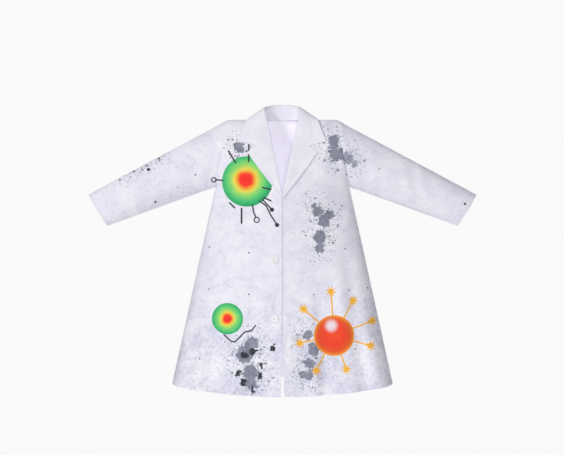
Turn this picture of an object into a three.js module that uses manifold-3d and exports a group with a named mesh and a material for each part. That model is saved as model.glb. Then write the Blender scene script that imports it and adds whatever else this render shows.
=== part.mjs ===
// A child's lab coat, held open in the shape that it has on a wearer: back, two fronts,
// sleeves, a two-layer collar, lapels, front facings and two sewn-on buttons.
// Millimetres, +Z up. The wearer faces -Y and the wearer's left is +X. The origin is at the
// middle of the neck opening, level with the shoulder seams. Drops are counted down from there.
import * as THREE from 'three';
import { mergeVertices } from 'three/addons/utils/BufferGeometryUtils.js';
import Module from 'manifold-3d';

const wasm = await Module();
wasm.setup();

// ---- Outline of the coat, seen from the front ----
const NECK_HALF = 57;          // middle of the back to the neck end of the shoulder seam
const SHOULDER_HALF = 140;     // middle of the back to the shoulder tip
const ARMPIT_HALF = 173;       // middle of the back to the armpit
const ARMPIT_DROP = 172;
const HEM_HALF = 286;          // middle of the back to the hem corner
const SIDE_HEM_DROP = 684;
const FRONT_HEM_DROP = 712;
const BACK_HEM_DROP = 676;
const BREAK_DROP = 205;        // where the lapels end and the front edges begin
const FRONT_GAP = 2.8;         // between the front edges at the break point
const HEM_GAP = 8.4;           // between the front edges at the hem

// ---- Depth of the coat, front and back ----
const CHEST_FRONT = 67.5;      // middle of the coat to the front cloth at the break point
const HEM_FRONT = 78;
const SHOULDER_FRONT = 13;
const BACK_SHOULDER = 34;
const CHEST_BACK = 58;
const HEM_BACK = 72;
const BACK_NECK_DEPTH = 30;
const FRONT_SWEEP = 0.104;     // how fast the front cloth falls back towards the side
const SHOULDER_ROUND = 25;     // height over which the cloth rounds over the shoulder
const NECK_RISE = 13;          // how far the back would rise past the neck seam if uncut

// ---- Sleeves ----
const CUFF_TOP = new THREE.Vector2(503, -194);
const CUFF_BOTTOM = new THREE.Vector2(455, -274);
const SLEEVE_DEPTH = 28;       // half the depth of the sleeve at the armhole
const CUFF_DEPTH = 21;
const SLEEVE_TURN_RADIUS = 150;  // the sleeve is free of its head beyond this radius
const TURN_GAP = 0.5;          // between the head and the turning sleeve

// ---- Collar and lapels ----
const FOLD_HALF = 48;          // middle of the back to the collar fold at the side of the neck
const FOLD_SIDE_RISE = 30;
const FOLD_BACK_RISE = 41;
const FOLD_BACK_DEPTH = 35;
const COLLAR_END_Y = -5;       // where the fixed back of the collar meets the leaves
const FALL_HALF = 88;          // middle of the back to the outer edge of the collar
const FALL_SIDE_RISE = 4;
const FALL_BACK_DROP = 18;
const FALL_BACK_DEPTH = 45;
const FOLD_RADIUS = 2.6;
const GORGE_DROP = 42;         // where the seam of collar and lapel meets the roll line
const NOTCH = new THREE.Vector2(68.5, -69);
const COLLAR_TIP = new THREE.Vector2(113, -57);
const LAPEL_TIP = new THREE.Vector2(90, -86);
const LAPEL_END_RISE = 19;     // the lapels' lowest cloth above the break point

// ---- Front flap and facing ----
const FLAP_FOOT_HALF = 245;    // where the flap's slanting turning line meets the hem
const FLAP_TOP_FALL = 10;      // the flap's highest cloth below the break point
const FACING_WIDTH = 60;

// ---- Buttons ----
const BUTTON_RADIUS = 9.8;
const BUTTON_HEIGHT = 2.6;
const BUTTON_RIM = 1.9;        // width of the raised rim
const BUTTON_DISH = 0.7;       // depth of the dish inside the rim
const BUTTON_INSET = 20.5;     // middle of the coat to the button's centre
const BUTTON_DROPS = { upper: 361, lower: 512 };
const HOLE_RADIUS = 0.95;
const HOLE_OFFSET = 1.7;
const THREAD_RADIUS = 0.5;
const THREAD_PAD_RADIUS = 3.0;
const THREAD_PAD_HEIGHT = 0.7;

// ---- Cloth ----
const CLOTH = 1.0;             // thickness of one layer
const CLEARANCE = 0.3;         // between pieces that touch
const LAYER = CLOTH + CLEARANCE;

// ---- Materials ----
const clothMaterial = (color) => new THREE.MeshStandardMaterial({ color, roughness: 0.85 });
const printedCloth = clothMaterial(0xe6e7f2);
const plainCloth = clothMaterial(0xf1f0f5);
const buttonPlastic = new THREE.MeshStandardMaterial({ color: 0xf3f4f4, roughness: 0.35 });
const threadMaterial = new THREE.MeshStandardMaterial({ color: 0xf0f0f2, roughness: 0.8 });

const coat = new THREE.Group();

const lerp = THREE.MathUtils.lerp;
const clamp = THREE.MathUtils.clamp;

// ---- The outline and depth of the coat as functions ----

function halfWidth(z) {
  if (z > -ARMPIT_DROP) {
    return lerp(SHOULDER_HALF, ARMPIT_HALF, -z / ARMPIT_DROP);
  }
  return lerp(ARMPIT_HALF, HEM_HALF, (-z - ARMPIT_DROP) / (SIDE_HEM_DROP - ARMPIT_DROP));
}

function armholeDepth(z) {
  const fromMiddle = (z + ARMPIT_DROP / 2) / (ARMPIT_DROP / 2);
  return SLEEVE_DEPTH * Math.max(0, 1 - fromMiddle ** 2) ** 0.7;
}

function shoulderRound(z, rise) {
  const down = clamp((rise - z) / SHOULDER_ROUND, 0, 1);
  return Math.sqrt(1 - (1 - down) ** 2);
}

function frontHem(x) {
  return -FRONT_HEM_DROP + (FRONT_HEM_DROP - SIDE_HEM_DROP) * (x / HEM_HALF) ** 2;
}

function backHem(x) {
  return -BACK_HEM_DROP + (BACK_HEM_DROP - SIDE_HEM_DROP) * (x / HEM_HALF) ** 2;
}

const FLAP_FOOT_Z = frontHem(FLAP_FOOT_HALF);

// The slanting line that the flap turns about, from the break point to the hem.
function flapLine(z) {
  return FLAP_FOOT_HALF * (z + BREAK_DROP) / (FLAP_FOOT_Z + BREAK_DROP);
}

// The line that the lapel turns about, from the break point to the side of the neck.
function rollLine(z) {
  return FOLD_HALF * (z + BREAK_DROP) / (FOLD_SIDE_RISE + BREAK_DROP);
}

const LAPEL_END_DROP = BREAK_DROP - LAPEL_END_RISE;
const FLAP_TOP_DROP = BREAK_DROP + FLAP_TOP_FALL;
const GORGE = new THREE.Vector2(rollLine(-GORGE_DROP), -GORGE_DROP);

function frontEdge(z) {
  const down = clamp((-z - BREAK_DROP) / (FRONT_HEM_DROP - BREAK_DROP), 0, 1);
  return lerp(FRONT_GAP, HEM_GAP, down ** 3) / 2;
}

function frontDepth(x, z) {
  const below = z < -BREAK_DROP;
  const sweep = FRONT_SWEEP * x * clamp((-z - BREAK_DROP / 2) / (BREAK_DROP / 2), 0, 1);
  const down = (-z - BREAK_DROP) / (FRONT_HEM_DROP - BREAK_DROP);
  const middle = below
    ? lerp(CHEST_FRONT, HEM_FRONT, down)
    : lerp(SHOULDER_FRONT, CHEST_FRONT, -z / BREAK_DROP);
  const flat = (middle - sweep) * shoulderRound(z, 0);
  const roundStart = below ? flapLine(z) : 0;
  const across = clamp((x - roundStart) / (halfWidth(z) - roundStart), 0, 1);
  const seam = z > -ARMPIT_DROP ? armholeDepth(z) : 0;
  return seam + (flat - seam) * Math.sqrt(1 - across ** 2.5);
}

function backDepth(x, z) {
  const overNeck = Math.sqrt(Math.max(0, 1 - (x / NECK_HALF) ** 2));
  const flat = z > -ARMPIT_DROP
    ? lerp(BACK_SHOULDER, CHEST_BACK, -z / ARMPIT_DROP)
    : lerp(CHEST_BACK, HEM_BACK, (-z - ARMPIT_DROP) / (BACK_HEM_DROP - ARMPIT_DROP));
  const rounded = flat * shoulderRound(z, NECK_RISE * overNeck);
  const seam = z > -ARMPIT_DROP ? armholeDepth(z) : 0;
  const power = lerp(2.5, 3.5, clamp((-z - ARMPIT_DROP) / (BACK_HEM_DROP - ARMPIT_DROP), 0, 1));
  const across = clamp(Math.abs(x) / halfWidth(z), 0, 1);
  return seam + (rounded - seam) * Math.sqrt(1 - across ** power);
}

// ---- Building blocks ----

// Splits the squares of a box's inner face along the same diagonals as those of its outer
// face, so that bent layers nest in one another.
function matchDiagonals(geometry) {
  const { start, count } = geometry.groups[5];
  const index = geometry.index;
  for (let i = start; i < start + count; i += 6) {
    const [a, b, d, c] = [0, 1, 2, 4].map((k) => index.getX(i + k));
    [a, b, c, a, c, d].forEach((corner, k) => index.setX(i + k, corner));
  }
}

// A closed sheet of cloth: surface(u, v) is its middle, moved out by offset along its normal.
function sheet(surface, uSteps, vSteps, offset = 0, thickness = CLOTH) {
  const geometry = new THREE.BoxGeometry(1, 1, 1, uSteps, vSteps, 1);
  matchDiagonals(geometry);
  const position = geometry.attributes.position;
  const step = 1e-4;
  for (let i = 0; i < position.count; i += 1) {
    const u = position.getX(i) + 0.5;
    const v = position.getY(i) + 0.5;
    const across = surface(Math.min(u + step, 1), v).sub(surface(Math.max(u - step, 0), v));
    const up = surface(u, Math.min(v + step, 1)).sub(surface(u, Math.max(v - step, 0)));
    const normal = across.cross(up).normalize();
    const point = surface(u, v).addScaledVector(normal, offset + position.getZ(i) * thickness);
    position.setXYZ(i, point.x, point.y, point.z);
  }
  return geometry;
}

// A closed tube wall round a sleeve: wall(angle, place, outwards) places each of its points.
function tubeWall(wall, around, steps) {
  const profile = [];
  for (let i = 0; i <= steps; i += 1) {
    profile.push(new THREE.Vector2(2, i / steps));
  }
  for (let i = steps; i >= 0; i -= 1) {
    profile.push(new THREE.Vector2(1, i / steps));
  }
  profile.push(profile[0].clone());
  const geometry = new THREE.LatheGeometry(profile, around);
  const position = geometry.attributes.position;
  for (let i = 0; i < position.count; i += 1) {
    const x = position.getX(i);
    const z = position.getZ(i);
    const point = wall(Math.atan2(x, z), position.getY(i), Math.hypot(x, z) - 1.5);
    position.setXYZ(i, point.x, point.y, point.z);
  }
  return geometry;
}

function signedVolume(geometry) {
  const corners = [0, 1, 2].map(() => new THREE.Vector3());
  let volume = 0;
  for (let i = 0; i < geometry.index.count; i += 3) {
    corners.forEach((corner, k) => {
      corner.fromBufferAttribute(geometry.attributes.position, geometry.index.getX(i + k));
    });
    volume += corners[0].dot(corners[1].cross(corners[2]));
  }
  return volume;
}

function welded(geometry) {
  const bare = geometry.clone();
  bare.deleteAttribute('normal');
  bare.deleteAttribute('uv');
  const merged = mergeVertices(bare, 1e-3);
  if (signedVolume(merged) < 0) {
    merged.index.array.reverse();
  }
  return merged;
}

function addPiece(name, geometry, material) {
  const piece = new THREE.Mesh(welded(geometry), material);
  piece.name = name;
  coat.add(piece);
  return piece;
}

// The same piece for the wearer's left and, mirrored, for the wearer's right.
function addPair(name, geometry, material) {
  addPiece(`left_${name}`, geometry, material);
  addPiece(`right_${name}`, geometry.clone().scale(-1, 1, 1), material);
}

// A value from a list, with in-between places read by straight steps.
function along(list, place) {
  const at = place * (list.length - 1);
  const index = Math.min(Math.floor(at), list.length - 2);
  return lerp(list[index], list[index + 1], at - index);
}

// A place across the cloth that crowds its points towards the rounded side.
function crowded(place) {
  return Math.sin(place * Math.PI / 2) ** 0.8;
}

// ---- Back and fronts ----

// Evenly spaced drops from one level down to another, without the lower one.
function rowsBetween(upper, lower, count) {
  return Array.from({ length: count }, (_, i) => lerp(upper, lower, i / count));
}

const ROWS = [
  0,
  0.08 * SHOULDER_ROUND,
  0.24 * SHOULDER_ROUND,
  0.52 * SHOULDER_ROUND,
  SHOULDER_ROUND,
  ...rowsBetween(GORGE_DROP, ARMPIT_DROP, 5),
  ...rowsBetween(ARMPIT_DROP, BREAK_DROP, 2),
  BREAK_DROP,
  ...rowsBetween(FLAP_TOP_DROP, SIDE_HEM_DROP, 5),
  SIDE_HEM_DROP,
].reverse();

// Rows are level down to the skirt, where they bend gently into the curve of the hem.
function rowHeight(v, hem) {
  const drop = along(ROWS, v);
  const bend = clamp((drop - FLAP_TOP_DROP) / (SIDE_HEM_DROP - FLAP_TOP_DROP), 0, 1);
  return -drop + bend * (hem + SIDE_HEM_DROP);
}

function frontPoint(x, z) {
  return new THREE.Vector3(x, -frontDepth(x, z) - CLEARANCE / 2, z);
}

function neckLine(z) {
  return lerp(GORGE.x, NECK_HALF, (z + GORGE_DROP) / GORGE_DROP);
}

function fixedInnerEdge(z) {
  if (z > -GORGE_DROP) {
    return neckLine(z);
  }
  const line = z > -BREAK_DROP ? rollLine(z) : flapLine(z) + TURN_GAP / 2;
  return Math.max(line, frontEdge(z));
}

function fixedFront(u, v) {
  const z = rowHeight(v, frontHem(lerp(FLAP_FOOT_HALF, HEM_HALF, u)));
  const x = lerp(fixedInnerEdge(z), halfWidth(z), crowded(u));
  return frontPoint(x, z);
}

function backSurface(u, v) {
  const side = 2 * u - 1;
  const across = Math.sign(side) * crowded(Math.abs(side));
  const z = rowHeight(v, backHem(across * HEM_HALF));
  const x = across * halfWidth(z);
  return new THREE.Vector3(x, backDepth(x, z) + CLEARANCE / 2, z);
}

addPiece('back_panel', sheet(backSurface, 20, ROWS.length - 1), printedCloth);
addPair('front', sheet(fixedFront, 8, ROWS.length - 1), printedCloth);

// ---- Front flaps, with the facing that is sewn inside their edges ----

function flapSurface(u, v) {
  const foot = frontHem(lerp(frontEdge(-FRONT_HEM_DROP), FLAP_FOOT_HALF, u));
  const z = lerp(foot, -FLAP_TOP_DROP, v);
  const x = lerp(frontEdge(z), flapLine(z) - TURN_GAP / 2, u);
  return frontPoint(x, z);
}

const FACING_MARGIN = 1.2;

function facingSurface(u, v) {
  const top = -FLAP_TOP_DROP - 2 * FACING_MARGIN;
  const cornerZ = -BREAK_DROP + (FLAP_FOOT_Z + BREAK_DROP) * FACING_WIDTH / FLAP_FOOT_HALF;
  const foot = frontHem(u * FACING_WIDTH) + FACING_MARGIN;
  const z = v < 0.5 ? lerp(foot, cornerZ, 2 * v) : lerp(cornerZ, top, 2 * v - 1);
  const outer = Math.min(FACING_WIDTH, flapLine(z)) - FACING_MARGIN;
  return frontPoint(lerp(frontEdge(z) + CLEARANCE / 2, outer, u), z);
}

addPair('front_flap', sheet(flapSurface, 6, 10), printedCloth);
addPair('facing', sheet(facingSurface, 3, 10, -LAYER), plainCloth);

// ---- Sleeves: a fixed head at the armhole and a sleeve that turns about the shoulder ----

const SHOULDER_TIP = new THREE.Vector2(SHOULDER_HALF, 0);
const ARMPIT = new THREE.Vector2(ARMPIT_HALF, -ARMPIT_DROP);
const SLEEVE_PIVOT = SHOULDER_TIP.clone().lerp(ARMPIT, 0.5);
const ARMHOLE_GAP = CLOTH / 2 + CLEARANCE;

// How far along a straight line of the sleeve it leaves a circle about the pivot.
function leavesCircle(from, to, radius) {
  const step = to.clone().sub(from);
  const start = from.clone().sub(SLEEVE_PIVOT);
  const a = step.lengthSq();
  const b = start.dot(step);
  const c = start.lengthSq() - radius * radius;
  return (-b + Math.sqrt(b * b - a * c)) / a;
}

function sleeveWall(turnStart, turnEnd) {
  return (angle, place, outwards) => {
    const up = (1 + Math.cos(angle)) / 2;
    const from = ARMPIT.clone().lerp(SHOULDER_TIP, up);
    const to = CUFF_BOTTOM.clone().lerp(CUFF_TOP, up);
    const begin = turnStart === null
      ? ARMHOLE_GAP / to.distanceTo(from)
      : leavesCircle(from, to, turnStart);
    const end = turnEnd === null ? 1 : leavesCircle(from, to, turnEnd);
    const t = lerp(begin, end, place);
    const middle = from.clone().lerp(to, t);
    const top = SHOULDER_TIP.clone().lerp(CUFF_TOP, t);
    const bottom = ARMPIT.clone().lerp(CUFF_BOTTOM, t);
    const height = top.distanceTo(bottom) / 2;
    const rise = top.sub(bottom).normalize();
    const depth = lerp(SLEEVE_DEPTH, CUFF_DEPTH, t);
    const bulge = Math.sign(Math.sin(angle)) * Math.abs(Math.sin(angle)) ** 1.4;
    const normal = new THREE.Vector2(Math.cos(angle) / height, Math.sin(angle) / depth).normalize();
    const out = outwards * CLOTH;
    const spread = out * normal.x;
    return new THREE.Vector3(
      middle.x + rise.x * spread,
      depth * bulge + out * normal.y,
      middle.y + rise.y * spread,
    );
  };
}

const headWall = sleeveWall(null, SLEEVE_TURN_RADIUS - TURN_GAP / 2);
const freeWall = sleeveWall(SLEEVE_TURN_RADIUS + TURN_GAP / 2, null);
addPair('sleeve_head', tubeWall(headWall, 24, 3), printedCloth);
addPair('sleeve', tubeWall(freeWall, 24, 4), printedCloth);

// ---- Back of the collar: two layers folded over one another ----

const STAND_STEPS = 2;
const FOLD_STEPS = 4;
const FALL_STEPS = 3;
const COLLAR_STEPS = STAND_STEPS + FOLD_STEPS + FALL_STEPS;
const STAND_START = CLOTH / 2 + 1.5 * CLEARANCE;  // the collar's seam over the back's edge

// The seam, the fold's middle and the outer edge of the collar, at an angle round the neck.
function collarLines(angle) {
  const side = Math.sin(angle);
  const back = Math.cos(angle);
  const seam = new THREE.Vector3(NECK_HALF * side, BACK_NECK_DEPTH * back, STAND_START);
  const fold = new THREE.Vector3(
    FOLD_HALF * side,
    lerp(COLLAR_END_Y, FOLD_BACK_DEPTH, back),
    lerp(FOLD_SIDE_RISE, FOLD_BACK_RISE, back) - FOLD_RADIUS,
  );
  const edge = new THREE.Vector3(
    FALL_HALF * side,
    lerp(COLLAR_END_Y, FALL_BACK_DEPTH, back),
    lerp(FALL_SIDE_RISE, -FALL_BACK_DROP, back ** 2),
  );
  return { seam, fold, edge, outward: new THREE.Vector3(side, back, 0) };
}

// The angle at which a straight line from a point touches the fold's circle.
function touchAngle(point, fold, outward, turn) {
  const away = point.clone().sub(fold);
  const flat = new THREE.Vector2(away.dot(outward), away.z);
  return Math.atan2(flat.y, flat.x) + turn * Math.acos(FOLD_RADIUS / flat.length());
}

function foldPoint(fold, outward, angle) {
  const point = fold.clone().addScaledVector(outward, FOLD_RADIUS * Math.cos(angle));
  point.z += FOLD_RADIUS * Math.sin(angle);
  return point;
}

// Up the stand, over the fold and down the fall.
function collarSurface(u, v) {
  const { seam, fold, edge, outward } = collarLines(lerp(-Math.PI / 2, Math.PI / 2, u));
  const begin = touchAngle(seam, fold, outward, -1) + 2 * Math.PI;
  const end = touchAngle(edge, fold, outward, 1);
  const at = v * COLLAR_STEPS - STAND_STEPS;
  if (at < 0) {
    return foldPoint(fold, outward, begin).lerp(seam, -at / STAND_STEPS);
  }
  if (at > FOLD_STEPS) {
    return foldPoint(fold, outward, end).lerp(edge, (at - FOLD_STEPS) / FALL_STEPS);
  }
  return foldPoint(fold, outward, lerp(begin, end, at / FOLD_STEPS));
}

addPiece('top_collar', sheet(collarSurface, 16, COLLAR_STEPS, LAYER / 2), plainCloth);
addPiece('under_collar', sheet(collarSurface, 16, COLLAR_STEPS, -LAYER / 2), plainCloth);

// ---- Lapels and the ends of the collar, which lie on the fronts and turn up together ----

// A height over the front cloth; above the shoulder a straight line to the collar's end.
function leafDepth(x, z, line) {
  return z < 0 ? Math.max(line, frontDepth(x, z)) : line;
}

function rollDepth(z) {
  return lerp(SHOULDER_FRONT, CHEST_FRONT, -z / BREAK_DROP);
}

// The broken edge of the seam and notch, from the roll line to the tip.
function notchedEdge(tip, u) {
  return u < 0.5 ? GORGE.clone().lerp(NOTCH, 2 * u) : NOTCH.clone().lerp(tip, 2 * u - 1);
}

function lapelSurface(u, v) {
  const topEdge = notchedEdge(LAPEL_TIP, u);
  const low = (BREAK_DROP - LAPEL_END_DROP) / (BREAK_DROP + LAPEL_TIP.y);
  const outer = new THREE.Vector2(0, -BREAK_DROP).lerp(LAPEL_TIP, low);
  const inner = new THREE.Vector2(rollLine(-LAPEL_END_DROP), -LAPEL_END_DROP);
  const place = inner.lerp(outer, u).lerp(topEdge, v);
  return frontPoint(place.x + CLEARANCE, place.y - CLEARANCE / 2);
}

function leafSurface(u, v) {
  const lower = notchedEdge(COLLAR_TIP, u);
  const fold = new THREE.Vector2(FOLD_HALF + FOLD_RADIUS, FOLD_SIDE_RISE);
  const upper = fold.lerp(new THREE.Vector2(FALL_HALF, FALL_SIDE_RISE), u);
  const lowerDepth = frontDepth(lower.x, lower.y);
  const line = lerp(lowerDepth, -COLLAR_END_Y + CLEARANCE, v);
  const place = lower.lerp(upper, v);
  const depth = leafDepth(place.x, place.y, line);
  return new THREE.Vector3(place.x + CLEARANCE, -depth - CLEARANCE / 2, place.y + CLEARANCE / 2);
}

const layers = { under: LAYER, face: 2 * LAYER };
for (const [layer, offset] of Object.entries(layers)) {
  addPair(`lapel_${layer}`, sheet(lapelSurface, 6, 8, offset), plainCloth);
  addPair(`collar_leaf_${layer}`, sheet(leafSurface, 6, 8, offset), plainCloth);
}

// ---- Stand of the collar at the sides of the neck, under the leaves ----

const SIDE_STAND_START = CLOTH / 2 + 2 * CLEARANCE;  // its seam over the front's edge

function standSurface(u, v) {
  const place = lerp(0.15, 1, v);
  const gorge = new THREE.Vector3(GORGE.x, -rollDepth(-GORGE_DROP), -GORGE_DROP);
  const seam = new THREE.Vector3(NECK_HALF, COLLAR_END_Y - CLEARANCE, SIDE_STAND_START);
  const fold = new THREE.Vector3(FOLD_HALF, COLLAR_END_Y - CLEARANCE, FOLD_SIDE_RISE);
  fold.z -= FOLD_RADIUS;
  return gorge.clone().lerp(fold, place).lerp(gorge.lerp(seam, place), u);
}

addPair('collar_stand', sheet(standSurface, 3, 6), plainCloth);

// ---- Buttons and the threads that hold them, on the wearer's right front ----

function toSolid(geometry) {
  const mesh = welded(geometry);
  return new wasm.Manifold(new wasm.Mesh({
    numProp: 3,
    vertProperties: new Float32Array(mesh.attributes.position.array),
    triVerts: new Uint32Array(mesh.index.array),
  }));
}

function fromSolid(solid) {
  const mesh = solid.getMesh();
  const geometry = new THREE.BufferGeometry();
  geometry.setAttribute('position', new THREE.BufferAttribute(mesh.vertProperties, 3));
  geometry.setIndex(new THREE.BufferAttribute(mesh.triVerts, 1));
  return geometry;
}

// An upright rod with its foot at a height above the cloth.
function rod(radius, height, x, y, foot, sides = 8) {
  const geometry = new THREE.CylinderGeometry(radius, radius, height, sides);
  geometry.rotateX(Math.PI / 2);
  geometry.translate(x, y, foot + height / 2);
  return toSolid(geometry);
}

const CLOTH_TOP = CLOTH / 2;
const BUTTON_FOOT = CLOTH_TOP + 2 * CLEARANCE + THREAD_PAD_HEIGHT;
const DISH_TOP = BUTTON_FOOT + BUTTON_HEIGHT - BUTTON_DISH;
const HOLES = [[-1, -1], [-1, 1], [1, -1], [1, 1]];

function buttonGeometry() {
  const top = BUTTON_FOOT + BUTTON_HEIGHT;
  const bevel = 0.6;
  const dish = BUTTON_RADIUS - BUTTON_RIM;
  const profile = [
    [0, BUTTON_FOOT],
    [BUTTON_RADIUS - bevel, BUTTON_FOOT],
    [BUTTON_RADIUS, BUTTON_FOOT + bevel],
    [BUTTON_RADIUS, top - bevel],
    [BUTTON_RADIUS - bevel, top],
    [dish + bevel, top],
    [dish - bevel, DISH_TOP],
    [0, DISH_TOP],
  ].map(([r, z]) => new THREE.Vector2(r, z));
  const disc = new THREE.LatheGeometry(profile, 28);
  disc.rotateX(Math.PI / 2);
  let solid = toSolid(disc);
  for (const [x, y] of HOLES) {
    const hole = rod(HOLE_RADIUS, 3 * BUTTON_HEIGHT, x * HOLE_OFFSET, y * HOLE_OFFSET, 0);
    solid = solid.subtract(hole);
  }
  return fromSolid(solid);
}

// A pad of thread under the button, four legs through its holes and two bars over it.
function threadGeometry() {
  const barFoot = DISH_TOP + CLEARANCE;
  const barTop = barFoot + 2 * THREAD_RADIUS;
  const padFoot = CLOTH_TOP + CLEARANCE;
  let solid = rod(THREAD_PAD_RADIUS, THREAD_PAD_HEIGHT, 0, 0, padFoot, 16);
  for (const [x, y] of HOLES) {
    const leg = rod(THREAD_RADIUS, barTop - padFoot, x * HOLE_OFFSET, y * HOLE_OFFSET, padFoot);
    solid = solid.add(leg);
  }
  for (const side of [-1, 1]) {
    const bar = new THREE.BoxGeometry(2 * THREAD_RADIUS, 2 * HOLE_OFFSET, 2 * THREAD_RADIUS);
    bar.translate(side * HOLE_OFFSET, 0, barFoot + THREAD_RADIUS);
    solid = solid.add(toSolid(bar));
  }
  return fromSolid(solid);
}

// The flap's cloth under a button: its place and which way it faces.
function seatOn(drop) {
  const step = 1;
  const place = frontPoint(BUTTON_INSET, -drop);
  const across = frontPoint(BUTTON_INSET + step, -drop).sub(place);
  const up = frontPoint(BUTTON_INSET, -drop + step).sub(place);
  const normal = across.cross(up).normalize();
  place.x *= -1;
  normal.x *= -1;
  return { place, normal };
}

for (const [name, drop] of Object.entries(BUTTON_DROPS)) {
  const { place, normal } = seatOn(drop);
  const turn = new THREE.Quaternion().setFromUnitVectors(new THREE.Vector3(0, 0, 1), normal);
  const parts = [
    addPiece(`${name}_button`, buttonGeometry(), buttonPlastic),
    addPiece(`${name}_button_thread`, threadGeometry(), threadMaterial),
  ];
  for (const part of parts) {
    part.position.copy(place);
    part.quaternion.copy(turn);
  }
}

export default coat;
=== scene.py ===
import math

import bmesh
import bpy
import numpy as np
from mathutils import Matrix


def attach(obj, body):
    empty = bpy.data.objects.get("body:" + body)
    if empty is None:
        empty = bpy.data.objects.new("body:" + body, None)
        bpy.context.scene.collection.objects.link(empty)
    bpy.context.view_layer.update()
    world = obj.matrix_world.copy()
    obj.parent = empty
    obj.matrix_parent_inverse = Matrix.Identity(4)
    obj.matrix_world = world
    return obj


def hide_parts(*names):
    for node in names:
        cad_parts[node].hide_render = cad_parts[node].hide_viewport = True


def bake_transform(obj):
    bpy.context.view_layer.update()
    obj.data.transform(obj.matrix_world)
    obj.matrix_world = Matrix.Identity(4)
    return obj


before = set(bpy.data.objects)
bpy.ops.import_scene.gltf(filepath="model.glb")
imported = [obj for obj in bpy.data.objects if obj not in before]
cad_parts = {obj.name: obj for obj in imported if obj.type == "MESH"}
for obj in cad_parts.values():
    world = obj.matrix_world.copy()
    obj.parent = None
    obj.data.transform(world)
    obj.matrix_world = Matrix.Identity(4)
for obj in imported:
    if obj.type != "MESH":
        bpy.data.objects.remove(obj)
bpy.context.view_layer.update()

MM = 0.001

# ---- The coat's outline, as the CAD has it ----
NECK_HALF = 57.0
SHOULDER_HALF = 140.0
ARMPIT_HALF = 173.0
ARMPIT_DROP = 172.0
HEM_HALF = 286.0
SIDE_HEM_DROP = 684.0
FRONT_HEM_DROP = 712.0
BACK_HEM_DROP = 676.0
BREAK_DROP = 205.0
FRONT_GAP = 2.8
HEM_GAP = 8.4

# ---- Its depth ----
CHEST_FRONT = 67.5
HEM_FRONT = 78.0
SHOULDER_FRONT = 13.0
BACK_SHOULDER = 34.0
CHEST_BACK = 58.0
HEM_BACK = 72.0
BACK_NECK_DEPTH = 30.0
FRONT_SWEEP = 0.104
SHOULDER_ROUND = 25.0
NECK_RISE = 13.0
SEAM_GAP = 0.15

# ---- Sleeves, collar, lapels, facings and buttons ----
SHOULDER_TIP = np.array([SHOULDER_HALF, 0.0])
ARMPIT = np.array([ARMPIT_HALF, -ARMPIT_DROP])
CUFF_TOP = np.array([503.0, -194.0])
CUFF_BOTTOM = np.array([455.0, -274.0])
SLEEVE_DEPTH = 28.0
SLEEVE_LENGTH = 410.0
CUFF_DEPTH = 21.0
CUFF_ROUND = 205.0
FOLD_HALF = 48.0
FOLD_SIDE_RISE = 30.0
FOLD_BACK_RISE = 41.0
FOLD_BACK_DEPTH = 35.0
COLLAR_END_Y = -5.0
FALL_HALF = 88.0
FALL_SIDE_RISE = 4.0
FALL_BACK_DROP = 18.0
FALL_BACK_DEPTH = 45.0
FOLD_RADIUS = 2.6
STAND_START = 1.0
GORGE_DROP = 42.0
NOTCH = np.array([68.5, -69.0])
COLLAR_TIP = np.array([113.0, -57.0])
LAPEL_TIP = np.array([90.0, -86.0])
FLAP_FOOT_HALF = 245.0
FACING_WIDTH = 60.0
BUTTON_INSET = 20.5
BUTTON_DROPS = {"upper": 361.0, "lower": 512.0}

# ---- Cloth and sewing ----
CLOTH = 0.8
FACING_OFFSET = -1.3
LAPEL_OFFSET = 1.95
LAPEL_THICKNESS = 2.0
HEM_FOLD = 10.0
CUFF_FOLD = 13.0
FOLD_STITCH = 1.6  # the stitches lie this far inside a turned-up fold
EDGE_STITCH = 6.0
SEAM_STITCH = 7.0
STITCH_GROOVE = 0.28
GROOVE_WIDTH = 1.1
STITCH_LENGTH = 2.5
STITCH_PITCH = 3.3
STITCH_RADII = 0.24 * np.array([0.7, 0.95, 1.0, 1.0, 0.95, 0.7])
SEWN_IN = 0.6
HEM_REACH = 60.0  # height over which the hem's wander fades out
RIM_SHARE = 0.42  # how far a cloth's cut edge rounds out, as a share of its thickness


# ---- Small helpers ----


def lerp(a, b, t):
    return a + (b - a) * t


def share(value, low, high):
    return np.clip((value - low) / (high - low), 0.0, 1.0)


def ramp(value, low, high):
    """Rises smoothly from 0 at low to 1 at high."""
    t = share(value, low, high)
    return t * t * (3.0 - 2.0 * t)


def bump(value, centre, width):
    return np.exp(-(((value - centre) / width) ** 2))


def swell(t):
    """0 at 0 and 1, and 1 half way."""
    return np.sin(math.pi * t)


def cycle(turns):
    return np.sin(2.0 * math.pi * turns)


def vector(x, y, z):
    return np.stack(np.broadcast_arrays(x, y, z), axis=-1).astype(float)


def length_of(values):
    return np.linalg.norm(values, axis=-1, keepdims=True)


def unit(values):
    return values / np.maximum(length_of(values), 1e-9)


def waves(x, z, seed, longest, count=5):
    """A smooth, repeatable unevenness of about -1 to 1 over a pair of coordinates."""
    source = np.random.default_rng(seed)
    total = 0.0
    for _ in range(count):
        turn = source.uniform(0.0, 2.0 * math.pi)
        length = longest * source.uniform(0.45, 1.0)
        phase = source.uniform(0.0, 2.0 * math.pi)
        along = (x * math.cos(turn) + z * math.sin(turn)) / length
        total = total + np.sin(2.0 * math.pi * along + phase)
    return total / math.sqrt(2.0 * count)


# ---- The coat's outline and depth as functions of the place seen from the front ----


def half_width(z):
    above = lerp(SHOULDER_HALF, ARMPIT_HALF, -z / ARMPIT_DROP)
    down = (-z - ARMPIT_DROP) / (SIDE_HEM_DROP - ARMPIT_DROP)
    return np.where(z > -ARMPIT_DROP, above, lerp(ARMPIT_HALF, HEM_HALF, down))


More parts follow.
